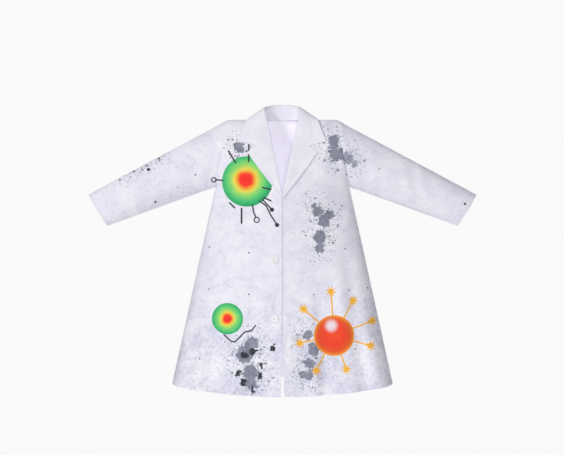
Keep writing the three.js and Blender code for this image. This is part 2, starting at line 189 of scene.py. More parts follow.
def armhole_depth(z):
    half = ARMPIT_DROP / 2.0
    open_share = np.clip(1.0 - ((z + half) / half) ** 2, 0.0, 1.0)
    return np.where(z > -ARMPIT_DROP, SLEEVE_DEPTH * open_share**0.7, 0.0)


def shoulder_round(z, rise):
    down = share(rise - z, 0.0, SHOULDER_ROUND)
    return np.sqrt(1.0 - (1.0 - down) ** 2)


def hem_curve(x, middle_drop):
    return -middle_drop + (middle_drop - SIDE_HEM_DROP) * (x / HEM_HALF) ** 2


def front_hem(x):
    return hem_curve(x, FRONT_HEM_DROP)


def back_hem(x):
    return hem_curve(x, BACK_HEM_DROP)


FLAP_FOOT_Z = front_hem(FLAP_FOOT_HALF)


def flap_line(z):
    return FLAP_FOOT_HALF * (z + BREAK_DROP) / (FLAP_FOOT_Z + BREAK_DROP)


def roll_line(z):
    return FOLD_HALF * (z + BREAK_DROP) / (FOLD_SIDE_RISE + BREAK_DROP)


GORGE = np.array([roll_line(-GORGE_DROP), -GORGE_DROP])


def front_edge(z):
    down = share(-z, BREAK_DROP, FRONT_HEM_DROP)
    return lerp(FRONT_GAP, HEM_GAP, down**3) / 2.0


def front_depth(x, z):
    below = z < -BREAK_DROP
    sweep = FRONT_SWEEP * x * np.clip(-2.0 * z / BREAK_DROP - 1.0, 0.0, 1.0)
    down = (-z - BREAK_DROP) / (FRONT_HEM_DROP - BREAK_DROP)
    chest = lerp(SHOULDER_FRONT, CHEST_FRONT, -z / BREAK_DROP)
    middle = np.where(below, lerp(CHEST_FRONT, HEM_FRONT, down), chest)
    flat = (middle - sweep) * shoulder_round(z, 0.0)
    start = np.where(below, flap_line(z), 0.0)
    seam = armhole_depth(z)
    return seam + (flat - seam) * np.sqrt(1.0 - share(x, start, half_width(z)) ** 2.5)


def back_depth(x, z):
    over_neck = np.sqrt(np.clip(1.0 - (x / NECK_HALF) ** 2, 0.0, 1.0))
    down = (-z - ARMPIT_DROP) / (BACK_HEM_DROP - ARMPIT_DROP)
    above = lerp(BACK_SHOULDER, CHEST_BACK, -z / ARMPIT_DROP)
    flat = np.where(z > -ARMPIT_DROP, above, lerp(CHEST_BACK, HEM_BACK, down))
    rounded = flat * shoulder_round(z, NECK_RISE * over_neck)
    power = lerp(2.5, 3.5, np.clip(down, 0.0, 1.0))
    seam = armhole_depth(z)
    across = share(np.abs(x), 0.0, half_width(z))
    return seam + (rounded - seam) * np.sqrt(1.0 - across**power)


# ---- Soft folds in the cloth, the same for every layer that lies there ----


def drag_lines(x, z, count, phase, reach, width):
    """Folds that fan out from the armpit, where the sleeve pulls."""
    from_armpit = np.hypot(ARMPIT_HALF - np.abs(x), z + ARMPIT_DROP)
    turn = np.arctan2(z + ARMPIT_DROP + 20.0, ARMPIT_HALF + 30.0 - np.abs(x))
    return np.sin(count * turn + phase) * bump(from_armpit, reach, width)


def crumple(x, z, seed, start, end):
    return 0.28 * waves(x, z, seed, 26.0, 7) * ramp(-z, start, end)


def off_seam(x, z):
    """1 on the cloth, falling to 0 at the side seam, so that the layers meet there."""
    return 1.0 - ramp(np.abs(x) / half_width(z), 0.86, 1.0)


def front_folds(x, z, side):
    spread = share(np.abs(x), 0.0, half_width(z))
    down = ramp(-z, 250.0, 700.0)
    faced = ramp(np.abs(x), 35.0, 95.0)
    skirt = 3.6 * cycle(3.1 * spread + 0.27 * side + 0.15 * down)
    skirt = (skirt + 2.0 * cycle(5.3 * spread - 0.21 * side)) * down * faced
    drag = 1.5 * drag_lines(x, z, 11.0, side, 75.0, 45.0)
    soft = 1.1 * waves(x, 0.45 * z, 21 + side, 95.0)
    soft = soft * ramp(-z, 12.0, 70.0) * lerp(0.25, 1.0, faced)
    return (skirt + drag + soft + crumple(x, z, 41 + side, 12.0, 50.0)) * off_seam(x, z)


def back_folds(x, z):
    spread = x / half_width(z)
    skirt = 4.2 * cycle(2.6 * spread + 0.29) + 2.0 * cycle(4.4 * spread)
    drag = 1.6 * drag_lines(x, z, 10.0, 0.0, 80.0, 50.0)
    soft = 1.2 * waves(x, 0.4 * z, 57, 110.0) * ramp(-z, 15.0, 80.0)
    folds = skirt * ramp(-z, 160.0, 660.0) + drag + soft + crumple(x, z, 61, 15.0, 60.0)
    return folds * off_seam(x, z)


def hem_wander(x, above_hem, seed):
    """How far the cloth near the hem is moved up or down; nothing at the side seam."""
    seam = 1.0 - ramp(np.abs(x), HEM_HALF - 70.0, HEM_HALF - 10.0)
    low = 1.0 - ramp(above_hem, 0.0, HEM_REACH)
    return low * 0.9 * waves(x, 0.0 * x, seed, 120.0, 3) * seam


# ---- Closed sheets and tubes of cloth ----


def surface_normals(surface, u, v, step=1e-3):
    across = surface(np.clip(u + step, 0.0, 1.0), v) - surface(np.clip(u - step, 0.0, 1.0), v)
    along = surface(u, np.clip(v + step, 0.0, 1.0)) - surface(u, np.clip(v - step, 0.0, 1.0))
    return unit(np.cross(across, along))


def thread_places(points):
    """Distances walked along the cloth both ways to each point of a grid, for the weave."""
    walked = []
    for axis in (0, 1):
        steps = np.linalg.norm(np.diff(points, axis=axis), axis=-1)
        pad = [(0, 0), (0, 0)]
        pad[axis] = (1, 0)
        walked.append(np.cumsum(np.pad(steps, pad), axis=axis))
    return vector(*walked, 0.0)


def border(rows, columns):
    """The grid places round a sheet's edge, in order."""
    edge = [(0, j) for j in range(columns)]
    edge += [(i, columns - 1) for i in range(1, rows)]
    edge += [(rows - 1, j) for j in range(columns - 2, -1, -1)]
    edge += [(i, 0) for i in range(rows - 2, 0, -1)]
    return edge


def grid_faces(rows, columns, steps):
    """Outer and inner quads by turns; a tube takes a step from its last row to its first."""
    count = rows * columns
    faces = []
    for i in range(steps):
        following = (i + 1) % rows
        for j in range(columns - 1):
            a, b = i * columns + j, following * columns + j
            faces.append((a, b, b + 1, a + 1))
            faces.append((a + count + 1, b + count + 1, b + count, a + count))
    return faces


def rim_faces(edge, first, count):
    """Two bands over a cut edge, which meet on the rim's points from first on."""
    faces = []
    for k, a in enumerate(edge):
        following = (k + 1) % len(edge)
        b, c, d = edge[following], first + following, first + k
        faces.append((a, b, c, d))
        faces.append((d, c, b + count, a + count))
    return faces


def plain_mesh(name, points, faces):
    mesh = bpy.data.meshes.new(name)
    mesh.from_pydata(points.tolist(), [], faces)
    piece = bpy.data.objects.new(name, mesh)
    bpy.context.scene.collection.objects.link(piece)
    return piece


def smooth_outwards(mesh):
    mesh.polygons.foreach_set("use_smooth", [True] * len(mesh.polygons))
    shape = bmesh.new()
    shape.from_mesh(mesh)
    bmesh.ops.recalc_face_normals(shape, faces=shape.faces)
    shape.to_mesh(mesh)
    shape.free()


def cloth_piece(name, vertices, weave, grid, rims, materials, side):
    """Cloth from points in millimetres, which remembers its rest place and its threads."""
    vertices = np.concatenate(vertices) * (side * MM, MM, MM)
    weave = np.concatenate(weave) * MM
    piece = plain_mesh(name, vertices, grid + rims)
    mesh = piece.data
    for attribute, values in (("rest", vertices), ("threads", weave)):
        stored = mesh.attributes.new(attribute, "FLOAT_VECTOR", "POINT")
        stored.data.foreach_set("vector", values.astype(np.float32).ravel())
    for material in materials:
        mesh.materials.append(material)
    outside_or_in = [0, 1] * (len(grid) // 2) + [0] * len(rims)
    mesh.polygons.foreach_set("material_index", outside_or_in)
    smooth_outwards(mesh)
    return piece


def sheet_piece(name, surface, u_values, v_values, heights, materials, side):
    """A closed sheet: heights gives its two faces' heights over the surface."""
    u, v = np.meshgrid(u_values, v_values, indexing="ij")
    middle = surface(u, v)
    normal = surface_normals(surface, u, v)
    high, low, _ = np.broadcast_arrays(*heights(u, v), u)
    top = middle + normal * high[..., None]
    bottom = middle + normal * low[..., None]
    rows, columns = u.shape
    i, j = np.array(border(rows, columns)).T
    edge = middle[i, j]
    along = np.roll(edge, -1, axis=0) - np.roll(edge, 1, axis=0)
    outwards = unit(np.cross(along, normal[i, j]))
    from_inside = edge - middle[np.clip(i, 1, rows - 2), np.clip(j, 1, columns - 2)]
    agrees = np.sum(outwards * from_inside, axis=-1, keepdims=True) >= 0.0
    outwards = np.where(agrees, outwards, -outwards)
    thickness = (high - low)[i, j][:, None]
    rim = (top[i, j] + bottom[i, j]) / 2.0 + outwards * thickness * RIM_SHARE
    threads = thread_places(middle)
    flat = threads.reshape(-1, 3)
    grid = grid_faces(rows, columns, rows - 1)
    rims = rim_faces((i * columns + j).tolist(), 2 * u.size, u.size)
    vertices = [top.reshape(-1, 3), bottom.reshape(-1, 3), rim]
    return cloth_piece(name, vertices, [flat, flat, threads[i, j]], grid, rims, materials, side)


def tube_piece(name, wall, around, v_values, thickness, materials, side):
    """A closed tube of cloth: wall(turn, place, height) gives points over its surface."""
    turns = np.arange(around) * 2.0 * math.pi / around
    turn, place = np.meshgrid(turns, v_values, indexing="ij")
    outside = wall(turn, place, CLOTH / 2.0)
    inside = wall(turn, place, CLOTH / 2.0 - thickness(place))
    threads = thread_places(outside)
    columns = len(v_values)
    count = around * columns
    vertices = [outside.reshape(-1, 3), inside.reshape(-1, 3)]
    weave = [threads.reshape(-1, 3), threads.reshape(-1, 3)]
    rims = []
    for j, neighbour in ((0, 1), (columns - 1, columns - 2)):
        away = unit(outside[:, j] - outside[:, neighbour])
        reach = length_of(outside[:, j] - inside[:, j]) * RIM_SHARE
        rims += rim_faces(range(j, count, columns), sum(map(len, vertices)), count)
        vertices.append((outside[:, j] + inside[:, j]) / 2.0 + away * reach)
        weave.append(threads[:, j])
    grid = grid_faces(around, columns, around)
    return cloth_piece(name, vertices, weave, grid, rims, materials, side)


# Places over a nominal width, true in millimetres near both ends and stretched between.
NOMINAL = 200.0
HELD = 14.0
CLOSE = np.array([0.0, 0.12, 0.5, 1.1, 2.0, 3.2, 4.6, 6.0, 7.0, 8.0, 9.2, 10.6, 12.0])
PLAIN = np.array([0.0, 1.0, 2.0, 3.2, 4.4, 5.2, 6.0, 6.8, 8.0, 10.0, 12.0])


def held_ends(place, low, high):
    middle = lerp(low + HELD, high - HELD, share(place, HELD, NOMINAL - HELD))
    near_high = high - (NOMINAL - place)
    return np.where(place < HELD, low + place, np.where(place > NOMINAL - HELD, near_high, middle))


def places(low_end, high_end, count):
    """The given places near both ends and evenly spread ones between, from 0 to 1."""
    middle = np.linspace(HELD, NOMINAL - HELD, count)
    return np.concatenate([low_end, middle, NOMINAL - high_end[::-1]]) / NOMINAL


# ---- Front, facing and back cloth ----


def inner_edge(z):
    """The front's neck edge down to the gorge, then the roll line, then the front edge."""
    neck = lerp(GORGE[0], NECK_HALF, (z + GORGE_DROP) / GORGE_DROP)
    above = np.where(z > -GORGE_DROP, neck, roll_line(z))
    return np.maximum(np.where(z > -BREAK_DROP, above, 0.0), front_edge(z))


def sewn_in(x, z):
    """How far a cloth's edge is drawn through its neighbour's at the side and shoulder."""
    at_side = bump(half_width(z) - x, 0.0, 1.2) * (z < -ARMPIT_DROP)
    at_shoulder = bump(z, 0.0, 0.8) * (x > NECK_HALF)
    return SEWN_IN * np.maximum(at_side, at_shoulder)


def front_point(x, z, side):
    y = -(front_depth(x, z) + SEAM_GAP + front_folds(x, z, side) - sewn_in(x, z))
    return np.stack([x, y, z + hem_wander(x, z - front_hem(x), 71 + side)], axis=-1)


def front_normal(x, z, side):
    step = 0.5
    across = front_point(x + step, z, side) - front_point(x - step, z, side)
    up = front_point(x, z + step, side) - front_point(x, z - step, side)
    return unit(np.cross(across, up))


def skirt_height(v, hem):
    """Level rows down to the break, then rows that bend into the curve of the hem."""
    z = held_ends(v * NOMINAL, -SIDE_HEM_DROP, 0.0)
    return z + share(-z, BREAK_DROP, SIDE_HEM_DROP) * (hem + SIDE_HEM_DROP)


def front_place(u, v):
    z = skirt_height(v, front_hem(u * HEM_HALF))
    return held_ends(u * NOMINAL, inner_edge(z), half_width(z)), z


def turned_up(above_hem):
    """The second layer of cloth that a turned-up hem adds."""
    return CLOTH * (1.0 - ramp(above_hem, HEM_FOLD - 0.8, HEM_FOLD))


def hem_groove(above_hem):
    return bump(above_hem, HEM_FOLD - FOLD_STITCH, GROOVE_WIDTH)


def seam_groove(from_seam):
    return 0.8 * bump(from_seam, SEAM_STITCH, 1.2)


def front_heights(u, v):
    x, z = front_place(u, v)
    above_hem = z - front_hem(x)
    from_edge = x - front_edge(z)
    groove = bump(from_edge, EDGE_STITCH, GROOVE_WIDTH) * (z < -BREAK_DROP)
    groove = groove + hem_groove(above_hem)
    groove = groove + seam_groove(half_width(z) - x) * (z < -ARMPIT_DROP)
    groove = groove + 0.8 * bump(-z, 8.0, GROOVE_WIDTH)
    pucker = 1.0 + 0.5 * cycle((x + z) / 8.5)
    uncovered = ramp(from_edge, FACING_WIDTH, FACING_WIDTH + 2.0)
    inner = CLOTH / 2.0 + turned_up(above_hem) * uncovered
    return CLOTH / 2.0 - STITCH_GROOVE * groove * pucker, -inner


def front_cloth(side, name, materials):
    surface = lambda u, v: front_point(*front_place(u, v), side)
    u, v = places(PLAIN, CLOSE, 66), places(PLAIN, CLOSE, 130)
    return sheet_piece(name, surface, u, v, front_heights, materials, side)


def facing_cloth(side, name, materials):
    def surface(u, v):
        z = lerp(front_hem(u * FACING_WIDTH) + 1.2, -BREAK_DROP - 3.0, v)
        return front_point(lerp(front_edge(z) + 0.4, FACING_WIDTH, u), z, side)

    heights = lambda u, v: (FACING_OFFSET + CLOTH / 2.0, FACING_OFFSET - CLOTH / 2.0)
    u, v = np.linspace(0.0, 1.0, 16), np.linspace(0.0, 1.0, 100)
    return sheet_piece(name, surface, u, v, heights, materials, side)


def back_point(x, z):
    y = back_depth(x, z) + SEAM_GAP + back_folds(x, z) - sewn_in(np.abs(x), z)
    return np.stack([x, y, z + hem_wander(x, z - back_hem(x), 76)], axis=-1)


def back_place(u, v):
    z = skirt_height(v, back_hem((2.0 * u - 1.0) * HEM_HALF))
    return held_ends(u * NOMINAL, -half_width(z), half_width(z)), z


def back_heights(u, v):
    """The back's surface faces inwards, so its outside lies below."""
    x, z = back_place(u, v)
    above_hem = z - back_hem(x)
    groove = hem_groove(above_hem) + seam_groove(half_width(z) - np.abs(x))
    return STITCH_GROOVE * groove - CLOTH / 2.0, CLOTH / 2.0 + turned_up(above_hem)


def back_cloth(name, materials):
    surface = lambda u, v: back_point(*back_place(u, v))
    u, v = places(CLOSE, CLOSE, 120), places(PLAIN, CLOSE, 120)
    return sheet_piece(name, surface, u, v, back_heights, materials, 1)


# ---- Sleeves ----


def sleeve_folds(turn, place, side):
    """Creases that fan out from the armpit and soft bends along the arm."""
    free = ramp(place, 0.0, 0.05) * (1.0 - 0.75 * ramp(place, 0.9, 1.0))
    swing = np.sin(turn)
    under = (1.0 - np.cos(turn)) / 2.0
    fan = 1.9 * np.sin(34.0 * place - 2.4 * swing * swing + side) * bump(place, 0.16, 0.13) * under
    elbow = 1.2 * np.sin(40.0 * place + 3.0 * np.cos(turn)) * bump(place, 0.56, 0.14)
    along = 1.3 * np.sin(3.0 * turn + 4.0 * place + side) * ramp(place, 0.1, 0.5)
    fine = 0.35 * waves(330.0 * place, 60.0 * np.cos(turn), 83 + side, 40.0, 6)
    puff = 1.3 * bump(place, 0.03, 0.02)
    return (fan + elbow + along + fine) * free * np.abs(swing) ** 0.3 + puff


def sleeve_wall(turn, place, height, side):
    """A flattened tube from armhole to cuff; turn runs round it from its upper edge."""
    up = ((1.0 + np.cos(turn)) / 2.0)[..., None]
    t = place[..., None]
    middle = lerp(lerp(ARMPIT, SHOULDER_TIP, up), lerp(CUFF_BOTTOM, CUFF_TOP, up), t)
    across = lerp(SHOULDER_TIP, CUFF_TOP, t) - lerp(ARMPIT, CUFF_BOTTOM, t)
    width = length_of(across)
    depth = lerp(SLEEVE_DEPTH, CUFF_DEPTH, place)
    swing = np.sin(turn)
    facing = unit(np.stack([2.0 * np.cos(turn) / width[..., 0], swing / depth], axis=-1))
    out = height + sleeve_folds(turn, place, side)
    lifted = middle + across / width * (out * facing[..., 0])[..., None]
    y = depth * np.sign(swing) * np.abs(swing) ** 1.4 + out * facing[..., 1]
    return vector(lifted[..., 0], y, lifted[..., 1])


CUFF_STITCH = 1.0 - (CUFF_FOLD - FOLD_STITCH) / SLEEVE_LENGTH


def sleeve_thickness(place):
    fold_start = 1.0 - CUFF_FOLD / SLEEVE_LENGTH
    return CLOTH * (1.0 + ramp(place, fold_start, fold_start + 1.0 / SLEEVE_LENGTH))


def sleeve_cloth(side, name, materials):
    def wall(turn, place, height):
        groove = bump(place, CUFF_STITCH, GROOVE_WIDTH / SLEEVE_LENGTH)
        seam = 0.5 * bump(turn, math.pi, 0.03)
        return sleeve_wall(turn, place, height - STITCH_GROOVE * groove + seam, side)

    head = np.linspace(0.0, 0.05, 8)
    cuff = 1.0 - PLAIN[::-1] * (CUFF_FOLD / HELD) / SLEEVE_LENGTH * 1.3
    v = np.unique(np.concatenate([head, np.linspace(0.06, cuff[0] - 0.01, 84), cuff]))
    return tube_piece(name, wall, 88, v, sleeve_thickness, materials, side)


# ---- Lapels ----

ROLL_SHARE = 0.12  # of the lapel's width, which turns over at the roll line
LAPEL_FOOT = 0.02  # how far up from the break point the lapel starts, as a share
LAPEL_BOW = 2.2
LAPEL_PUFF = 0.9
LAPEL_LIFT = 1.6
BEAD = 0.22  # height of the seam's ridge along a turned edge


def broken_edge(tip, u):
    """From the gorge to the notch and on to the tip."""
    first = lerp(GORGE, NOTCH, share(u, 0.0, 0.5)[..., None])
    second = lerp(NOTCH, tip, share(u, 0.5, 1.0)[..., None])
    return np.where((u < 0.5)[..., None], first, second)


def lapel_shape(u, v):
    """Place on the front and height over it; the roll lies back behind its own edge."""
    across = share(u, ROLL_SHARE, 1.0)
    outer = lerp(np.array([0.0, -BREAK_DROP]), LAPEL_TIP, LAPEL_FOOT)
    inner = np.array([roll_line(outer[1]), outer[1]])
    top = broken_edge(LAPEL_TIP, across)
    place = lerp(lerp(inner, outer, across[..., None]), top, v[..., None])
    puff = LAPEL_PUFF * swell(v) ** 0.7
    radius = (LAPEL_OFFSET + puff) / 2.0
    turn = math.pi * (share(u, 0.0, ROLL_SHARE) - 0.5)
    flat = lerp(LAPEL_OFFSET + puff, LAPEL_OFFSET, ramp(across, 0.0, 0.5))
    lifted = LAPEL_LIFT * ramp(across, 0.55, 1.0) * swell(np.clip(v, 0.0, 0.97)) ** 0.5
    height = np.where(u < ROLL_SHARE, radius * (1.0 + np.sin(turn)), flat + lifted)
    back = np.where(u < ROLL_SHARE, radius * np.cos(turn), 0.0)
    return place[..., 0] + LAPEL_BOW * swell(v) * across - back, place[..., 1] + 0.2 * back, height


def lapel_cloth(side, name, materials):
    def surface(u, v):
        x, z, height = lapel_shape(u, v)
        return front_point(x, z, side) + front_normal(x, z, side) * height[..., None]

    def heights(u, v):
        grown = ramp(u, ROLL_SHARE, ROLL_SHARE + 0.1)
        half = lerp(CLOTH / 2.0, LAPEL_THICKNESS / 2.0, grown)
        half = half + BEAD * (bump(u, 0.965, 0.02) + bump(v, 0.975, 0.015))
        return half, -half

    rolled = np.linspace(0.0, ROLL_SHARE, 9)
    u = np.unique(np.concatenate([rolled, np.linspace(0.14, 0.93, 34), np.linspace(0.94, 1.0, 7)]))
    v = np.concatenate([np.linspace(0.0, 0.93, 70), np.linspace(0.94, 1.0, 9)])
    return sheet_piece(name, surface, u, v, heights, materials, side)


# ---- Collar: half of its back, folded over, and the leaf that lies on the front ----

BACK_SHARE = 0.42  # of the half collar's length, which lies behind the neck
STAND_SHARE = 0.26  # of its width, from the seam up to the fold
ARC_SHARE = 0.42  # of its width, from the seam to the far side of the fold
LEAF_FORWARD = 45.0
LEAF_DOWN = 17.0
LEAF_LIFT = 1.5
FOLD_START = math.radians(245.0)
FOLD_END = math.radians(90.0)


def by_width(c, stand, fold, fall):
    """Stand, fold or fall of the collar, by the share c of its width."""
    c = c[..., None]
    return np.where(c < STAND_SHARE, stand, np.where(c > ARC_SHARE, fall, fold))


def back_of_collar(turn, c):
    side, back = np.sin(turn), np.cos(turn)
    seam = vector(NECK_HALF * side, BACK_NECK_DEPTH * back, STAND_START)
    fold_z = lerp(FOLD_SIDE_RISE, FOLD_BACK_RISE, back) - FOLD_RADIUS
    fold = vector(FOLD_HALF * side, lerp(COLLAR_END_Y, FOLD_BACK_DEPTH, back), fold_z)
    edge_z = lerp(FALL_SIDE_RISE, -FALL_BACK_DROP, back**2)
    edge = vector(FALL_HALF * side, lerp(COLLAR_END_Y, FALL_BACK_DEPTH, back), edge_z)
    outward = vector(side, back, 0.0)

    def touch(point, direction):
        away = point - fold
        flat = np.sum(away * outward, axis=-1)
        reach = np.hypot(flat, away[..., 2])
        return np.arctan2(away[..., 2], flat) + direction * np.arccos(FOLD_RADIUS / reach)

    def on_fold(angle):
        step = outward * (FOLD_RADIUS * np.cos(angle))[..., None]
        return fold + step + vector(0.0, 0.0, FOLD_RADIUS * np.sin(angle))

    begin = touch(seam, -1.0) + 2.0 * math.pi
    end = touch(edge, 1.0)
    rising = lerp(seam, on_fold(begin), share(c, 0.0, STAND_SHARE)[..., None])
    over = on_fold(lerp(begin, end, share(c, STAND_SHARE, ARC_SHARE)))
    falling = lerp(on_fold(end), edge, share(c, ARC_SHARE, 1.0)[..., None])
    return by_width(c, rising, over, falling)


def leaf_base(q, s, side):
    """The leaf from the side of the neck (s = 0), over the shoulder, down to its tip."""
    start = back_of_collar(math.pi / 2.0 + 0.0 * q, lerp(ARC_SHARE, 1.0, q))
    lower = broken_edge(COLLAR_TIP, q)
    end = front_point(lower[..., 0], lower[..., 1], side)
    reach = end - start
    leaving = vector(0.0, -LEAF_FORWARD, 0.0)
    arriving = vector(reach[..., 0], -LEAF_DOWN, reach[..., 2])
    s = s[..., None]
    point = (2.0 * s**3 - 3.0 * s**2 + 1.0) * start + (s**3 - 2.0 * s**2 + s) * leaving
    point = point + (3.0 * s**2 - 2.0 * s**3) * end + (s**3 - s**2) * arriving
    x, z = point[..., 0], point[..., 2]
    resting = front_point(x, np.minimum(z, 0.0), side)[..., 1]
    point[..., 1] = np.where(z < 0.0, np.minimum(point[..., 1], resting), point[..., 1])
    return point


def leaf_normal(q, s, side):
    return surface_normals(lambda s, q: leaf_base(q, s, side), s, q, 0.01)


def leaf_of_collar(s, c, side):
    """The leaf's stand and fold follow the ridge, the line where its fall begins."""
    q = share(c, ARC_SHARE, 1.0)
    resting = LAPEL_OFFSET * ramp(s, 0.0, 0.45)
    height = resting + LEAF_LIFT * ramp(q, 0.6, 1.0) * swell(s)
    leaf = leaf_base(q, s, side) + leaf_normal(q, s, side) * height[..., None]
    at_ridge = 0.0 * q
    ridge = leaf_base(at_ridge, s, side)
    normal = leaf_normal(at_ridge, s, side)
    outwards = unit(leaf_base(at_ridge + 0.03, s, side) - ridge)
    outwards = unit(outwards - normal * np.sum(outwards * normal, axis=-1, keepdims=True))
    radius = lerp(FOLD_RADIUS, LAPEL_OFFSET / 2.0, ramp(s, 0.0, 0.7))[..., None]
    centre = ridge + normal * resting[..., None] - normal * radius
    round_fold = lambda angle: centre + radius * (outwards * np.cos(angle) + normal * np.sin(angle))
    over = round_fold(lerp(FOLD_START, FOLD_END, share(c, STAND_SHARE, ARC_SHARE))[..., None])
    foot = round_fold(FOLD_START)
    seam = back_of_collar(math.pi / 2.0 + at_ridge, at_ridge)
    lip = foot + (outwards * 0.9 - normal * 0.4) * 2.0
    below = lerp(seam, lip, ramp(s, 0.0, 0.16)[..., None])
    rising = lerp(below, foot, share(c, 0.0, STAND_SHARE)[..., None])
    return by_width(c, rising, over, leaf)


def collar_cloth(side, name, materials):
    def surface(u, v):
        back = back_of_collar(share(u, 0.0, BACK_SHARE) * math.pi / 2.0, v)
        leaf = leaf_of_collar(share(u, BACK_SHARE, 1.0), v, side)
        return np.where((u <= BACK_SHARE)[..., None], back, leaf)

    def heights(u, v):
        bead = BEAD * (bump(v, 0.965, 0.02) + bump(u, 0.985, 0.01))
        return LAPEL_THICKNESS / 2.0 + bead, -LAPEL_THICKNESS / 2.0 - bead

    spans = lambda *parts: np.concatenate([np.linspace(*part) for part in parts])
    u = spans((0.0, BACK_SHARE, 30), (BACK_SHARE + 0.012, 0.96, 44), (0.966, 1.0, 7))
    stand = ((0.0, STAND_SHARE, 12), (0.275, ARC_SHARE, 11))
    v = spans(*stand, (0.435, 0.94, 34), (0.948, 1.0, 7))
    return sheet_piece(name, surface, u, v, heights, materials, side)


def stand_cloth(side, name, materials):
    """The stand between the gorge and the side of the neck, a little inside the seam."""
    end_y = COLLAR_END_Y + 0.5

    def surface(u, v):
        place = lerp(0.06, 1.0, v)[..., None]
        gorge = front_point(GORGE[0] + 0.0 * u, GORGE[1] + 0.0 * u, side)
        seam = vector(NECK_HALF, end_y, STAND_START)
        fold = vector(FOLD_HALF, end_y, FOLD_SIDE_RISE - FOLD_RADIUS)
        point = lerp(lerp(gorge, fold, place), lerp(gorge, seam, place), u[..., None])
        point[..., 0] -= 0.9
        return point

    heights = lambda u, v: (CLOTH / 2.0, -CLOTH / 2.0)
    u, v = np.linspace(0.0, 1.0, 12), np.linspace(0.0, 1.0, 24)
    return sheet_piece(name, surface, u, v, heights, materials, side)


# ---- Buttons, the thread that holds them, and the stitching ----

BUTTON_LIFT = 1.9
BUTTON_FLOOR = 1.9  # height of the dish's middle over the button's back
HOLE_OFFSET = 1.7
HOLE_RADIUS = 0.95
STRAND_RADIUS = 0.2
STRAND_SINK = 1.1  # how deep in its hole a strand starts
STRAND_PITCH = 0.3
SHANK_RADIUS = 1.9
SHANK_TURNS = 5.0
WOUND_RADIUS = 0.24
BUTTON_PROFILE = [
    (0.0, 0.0), (7.2, 0.0), (8.8, 0.35), (9.55, 0.95), (9.8, 1.6), (9.55, 2.2), (9.0, 2.55),
    (8.5, 2.6), (8.0, 2.45), (7.5, 2.05), (6.9, 1.85), (4.4, 1.72), (3.9, 1.9), (3.5, 1.92),
    (0.0, BUTTON_FLOOR),
]
DRILL_PROFILE = [(0.0, 0.0), (HOLE_RADIUS, 0.0), (HOLE_RADIUS, 8.0), (0.0, 8.0)]


def lathe(profile, sides):
    """Points and faces of a profile of (radius, height) turned round the upright axis."""
    points = []
    faces = []
    rings = []
    for radius, height in profile:
        ring = []
        for k in range(sides if radius > 0.0 else 1):
            angle = 2.0 * math.pi * k / sides
            ring.append(len(points))
            points.append((radius * math.cos(angle), radius * math.sin(angle), height))
        rings.append(ring)
    for low, high in zip(rings, rings[1:]):
        for k in range(sides):
            face = [low[k % len(low)], low[(k + 1) % len(low)]]
            face += [high[(k + 1) % len(high)], high[k % len(high)]]
            faces.append(list(dict.fromkeys(face)))
    return np.array(points), faces


def seated(points, drop):
    """Points over a button's seat on the wearer's right front: across, up and out."""
    x, z = np.array(BUTTON_INSET), np.array(-drop)
    mirror = np.array([-1.0, 1.0, 1.0])
    place = front_point(x, z, -1) * mirror
    facing = front_normal(x, z, -1) * mirror
    up = unit(np.array([0.0, 0.0, 1.0]) - facing * facing[2])
    return place + points @ np.array([np.cross(up, facing), up, facing])


def drill_hole(disc, turn):
    points, faces = lathe(DRILL_PROFILE, 20)
    reach = HOLE_OFFSET * math.sqrt(2.0)
    shift = np.array([reach * math.cos(turn), reach * math.sin(turn), 0.0])
    drill = plain_mesh("drill", points + shift, faces)
    cut = disc.modifiers.new("cut", "BOOLEAN")
    cut.operation = "DIFFERENCE"
    cut.solver = "EXACT"
    cut.object = drill
    bpy.context.view_layer.update()
    drilled = disc.evaluated_get(bpy.context.evaluated_depsgraph_get())
    shape = bpy.data.meshes.new_from_object(drilled)
    disc.modifiers.clear()
    disc.data = shape
    bpy.data.objects.remove(drill)


def button_piece(name, drop, material):
    points, faces = lathe(BUTTON_PROFILE, 72)
    disc = plain_mesh(name, points + np.array([0.0, 0.0, BUTTON_LIFT]), faces)
    for k in range(4):
        drill_hole(disc, math.pi * (0.5 * k + 0.25))
    shape = disc.data
    points = np.array([vertex.co for vertex in shape.vertices])
    for vertex, point in zip(shape.vertices, seated(points, drop) * MM):
        vertex.co = point
    shape.polygons.foreach_set("use_smooth", [True] * len(shape.polygons))
    shape.set_sharp_from_angle(angle=math.radians(40.0))
    shape.materials.clear()
    shape.materials.append(material)
    return disc


def tubes_piece(name, paths, radii, material, sides=6):
    """One mesh of many round threads: each path is a line of points, in millimetres."""
    points = []
    faces = []
    angles = (np.arange(sides) * 2.0 * math.pi / sides)[:, None]
    for path in paths:
        along = unit(np.gradient(path, axis=0))
        first = unit(np.cross(along, (0.37, 0.21, 0.9)))
        second = np.cross(along, first)
        base = len(points)
        for k, centre in enumerate(path):
            points.extend(centre + radii[k] * (np.cos(angles) * first[k] + np.sin(angles) * second[k]))
        last = base + (len(path) - 1) * sides
        for start in range(base, last, sides):
            for i in range(sides):
                a, b = start + i, start + (i + 1) % sides
                faces.append((a, b, b + sides, a + sides))
        faces.append([base + i for i in range(sides)][::-1])
        faces.append([last + i for i in range(sides)])
    piece = plain_mesh(name, np.array(points) * MM, faces)
    piece.data.materials.append(material)
    smooth_outwards(piece.data)
    return piece


